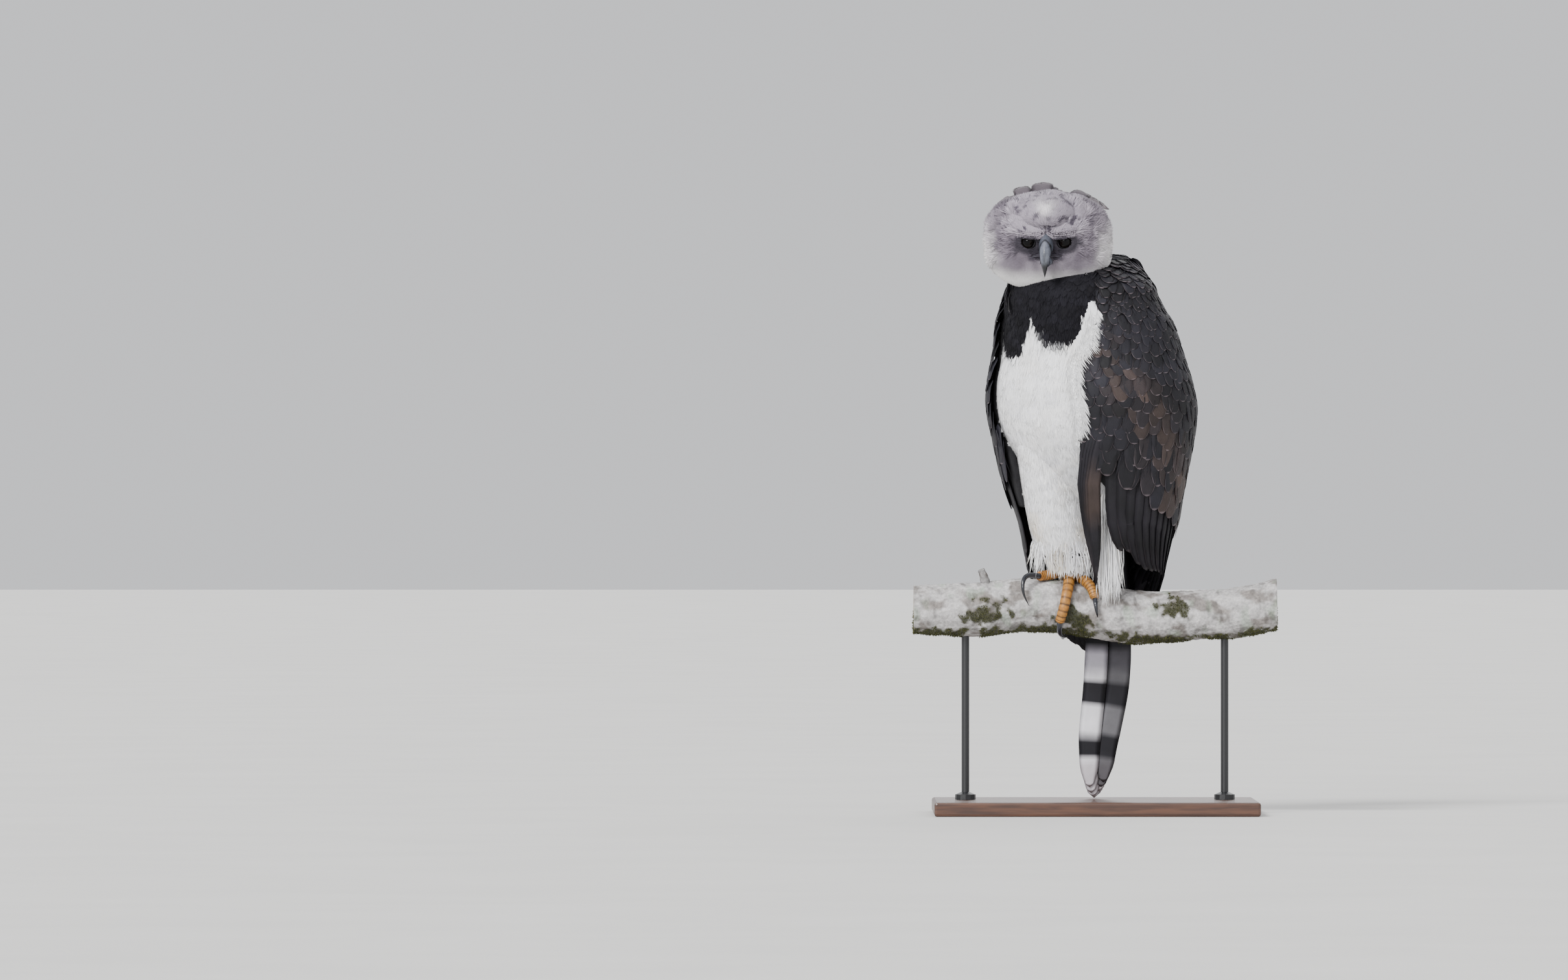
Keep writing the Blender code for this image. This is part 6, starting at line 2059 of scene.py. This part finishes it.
@dataclass
class Studio:
    """A plain pale floor, soft lights and a level long-lens camera."""

    finishes: Finishes
    floor_size: float = 90.0
    look_at: tuple[float, float, float] = (0.0, -0.02, 0.55)
    sky: str = "e4e5e8"
    sky_strength: float = 1.05
    lens: float = 297.5
    sensor: float = 36.0
    far: float = 200.0
    camera_at: tuple[float, float, float] = (-0.48, -20.0, 0.5)
    lights: tuple[tuple, ...] = (
        ("key", (-1.8, -2.6, 3.0), 17.0, 3.7), ("fill", (2.6, -2.4, 1.2), 60.0, 0.5),
        ("back", (0.8, 2.8, 2.4), 50.0, 1.1), ("spark", (-1.0, -2.6, 1.35), 12.0, 1.0))

    def build(self) -> None:
        """Makes the floor, the lights, the world and the camera."""
        bpy.ops.mesh.primitive_plane_add(size=self.floor_size)
        floor = bpy.context.object
        floor.name = "floor"
        floor.data.materials.append(self.finishes.floor)
        for name, at, spread, power in self.lights:
            data = bpy.data.lights.new(name, "SUN")
            data.angle = math.radians(spread)
            data.energy = power
            lamp = bpy.data.objects.new(name, data)
            lamp.location = at
            lamp.rotation_euler = (Vector(self.look_at) - Vector(at)).to_track_quat("-Z", "Y").to_euler()
            bpy.context.scene.collection.objects.link(lamp)
        world = bpy.data.worlds.new("studio")
        world.use_nodes = True
        sky = world.node_tree.nodes["Background"]
        sky.inputs["Color"].default_value = (*linear(self.sky), 1)
        sky.inputs["Strength"].default_value = self.sky_strength
        bpy.context.scene.world = world
        data = bpy.data.cameras.new("camera")
        data.sensor_width = self.sensor
        data.lens = self.lens
        data.clip_end = self.far
        camera = bpy.data.objects.new("camera", data)
        camera.location = self.camera_at
        camera.rotation_euler = (math.pi / 2, 0.0, 0.0)
        bpy.context.scene.collection.objects.link(camera)
        bpy.context.scene.camera = camera


NAMES = {
    "coat_breast": ("white_feather", ()), "coat_collar": ("dark_feather", ()),
    "coat_legs": ("white_feather", ()), "coat_mantle": ("dark_feather", ()),
    "coat_cheeks": ("grey_feather", ()), "coat_ruff": ("grey_feather", ()), "coat_face": ("grey_feather", ()),
    "coat_head": ("grey_feather", ()), "coat_forehead": ("grey_feather", ()),
    "crest_feathers": ("grey_feather", ("crest",)), "wing_left_coverts": ("dark_feather", ("wing_left",)),
    "wing_right_coverts": ("dark_feather", ("wing_right",)),
    "wing_left_flights": ("dark_feather", ("wing_left",)),
    "wing_right_flights": ("dark_feather", ("wing_right",)), "tail_feathers": ("dark_feather", ("tail",)),
    "skin": ("white_feather", ("torso", "neck", "head", "leg_left", "leg_right")),
    "upper_bill": ("horn", ("bill_upper",)), "lower_bill": ("horn", ("bill_lower",)), "gape_lips": ("horn", ()),
    "right_eye": ("eye", ("eye_right",)), "left_eye": ("eye", ("eye_left",)), "eyelids": ("horn", ()),
    "standing_foot": ("foot_scales", ("foot_right",)), "clenched_foot": ("foot_scales", ("foot_left",)),
    "branch": ("bark", ("perch",)), "moss": ("bark", ()),
}


def place(piece: Piece) -> None:
    """Attaches a piece to the root body and hides the model's nodes that it stands for."""
    slot, nodes = NAMES.get(piece.name, ("claw", (piece.name.replace("talon", "claw"),)))
    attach(piece, "root")
    if nodes:
        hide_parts(*nodes)


def main() -> None:
    """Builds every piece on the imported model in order."""
    logging.basicConfig(level=logging.INFO, format="%(message)s")
    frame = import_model()
    finishes = Finishes()
    marks = Markings()
    coat = Coat(marks, finishes)
    pieces = [Skin().build(marks, finishes)]
    tree = skin_tree(pieces[0])
    pieces += coat.body(tree)
    pieces += Wing(1, marks, finishes).build() + Wing(-1, marks, finishes).build()
    pieces.append(Tail(finishes).build())
    pieces += Face(coat).build(tree)
    pieces += Bill(finishes).build() + Eyes(finishes).build()
    pieces += Feet(finishes).build() + Branch(finishes).build()
    for piece in pieces:
        place(piece)
        log.info("%s ready", piece.name)
    for name, finish in (("stand_base", finishes.wood), ("stand_rod_left", finishes.steel),
                         ("stand_rod_right", finishes.steel)):
        node = frame["nodes"][name]
        node.data.materials.clear()
        node.data.materials.append(finish)
    Studio(finishes).build()


if __name__ == "__main__":
    main()
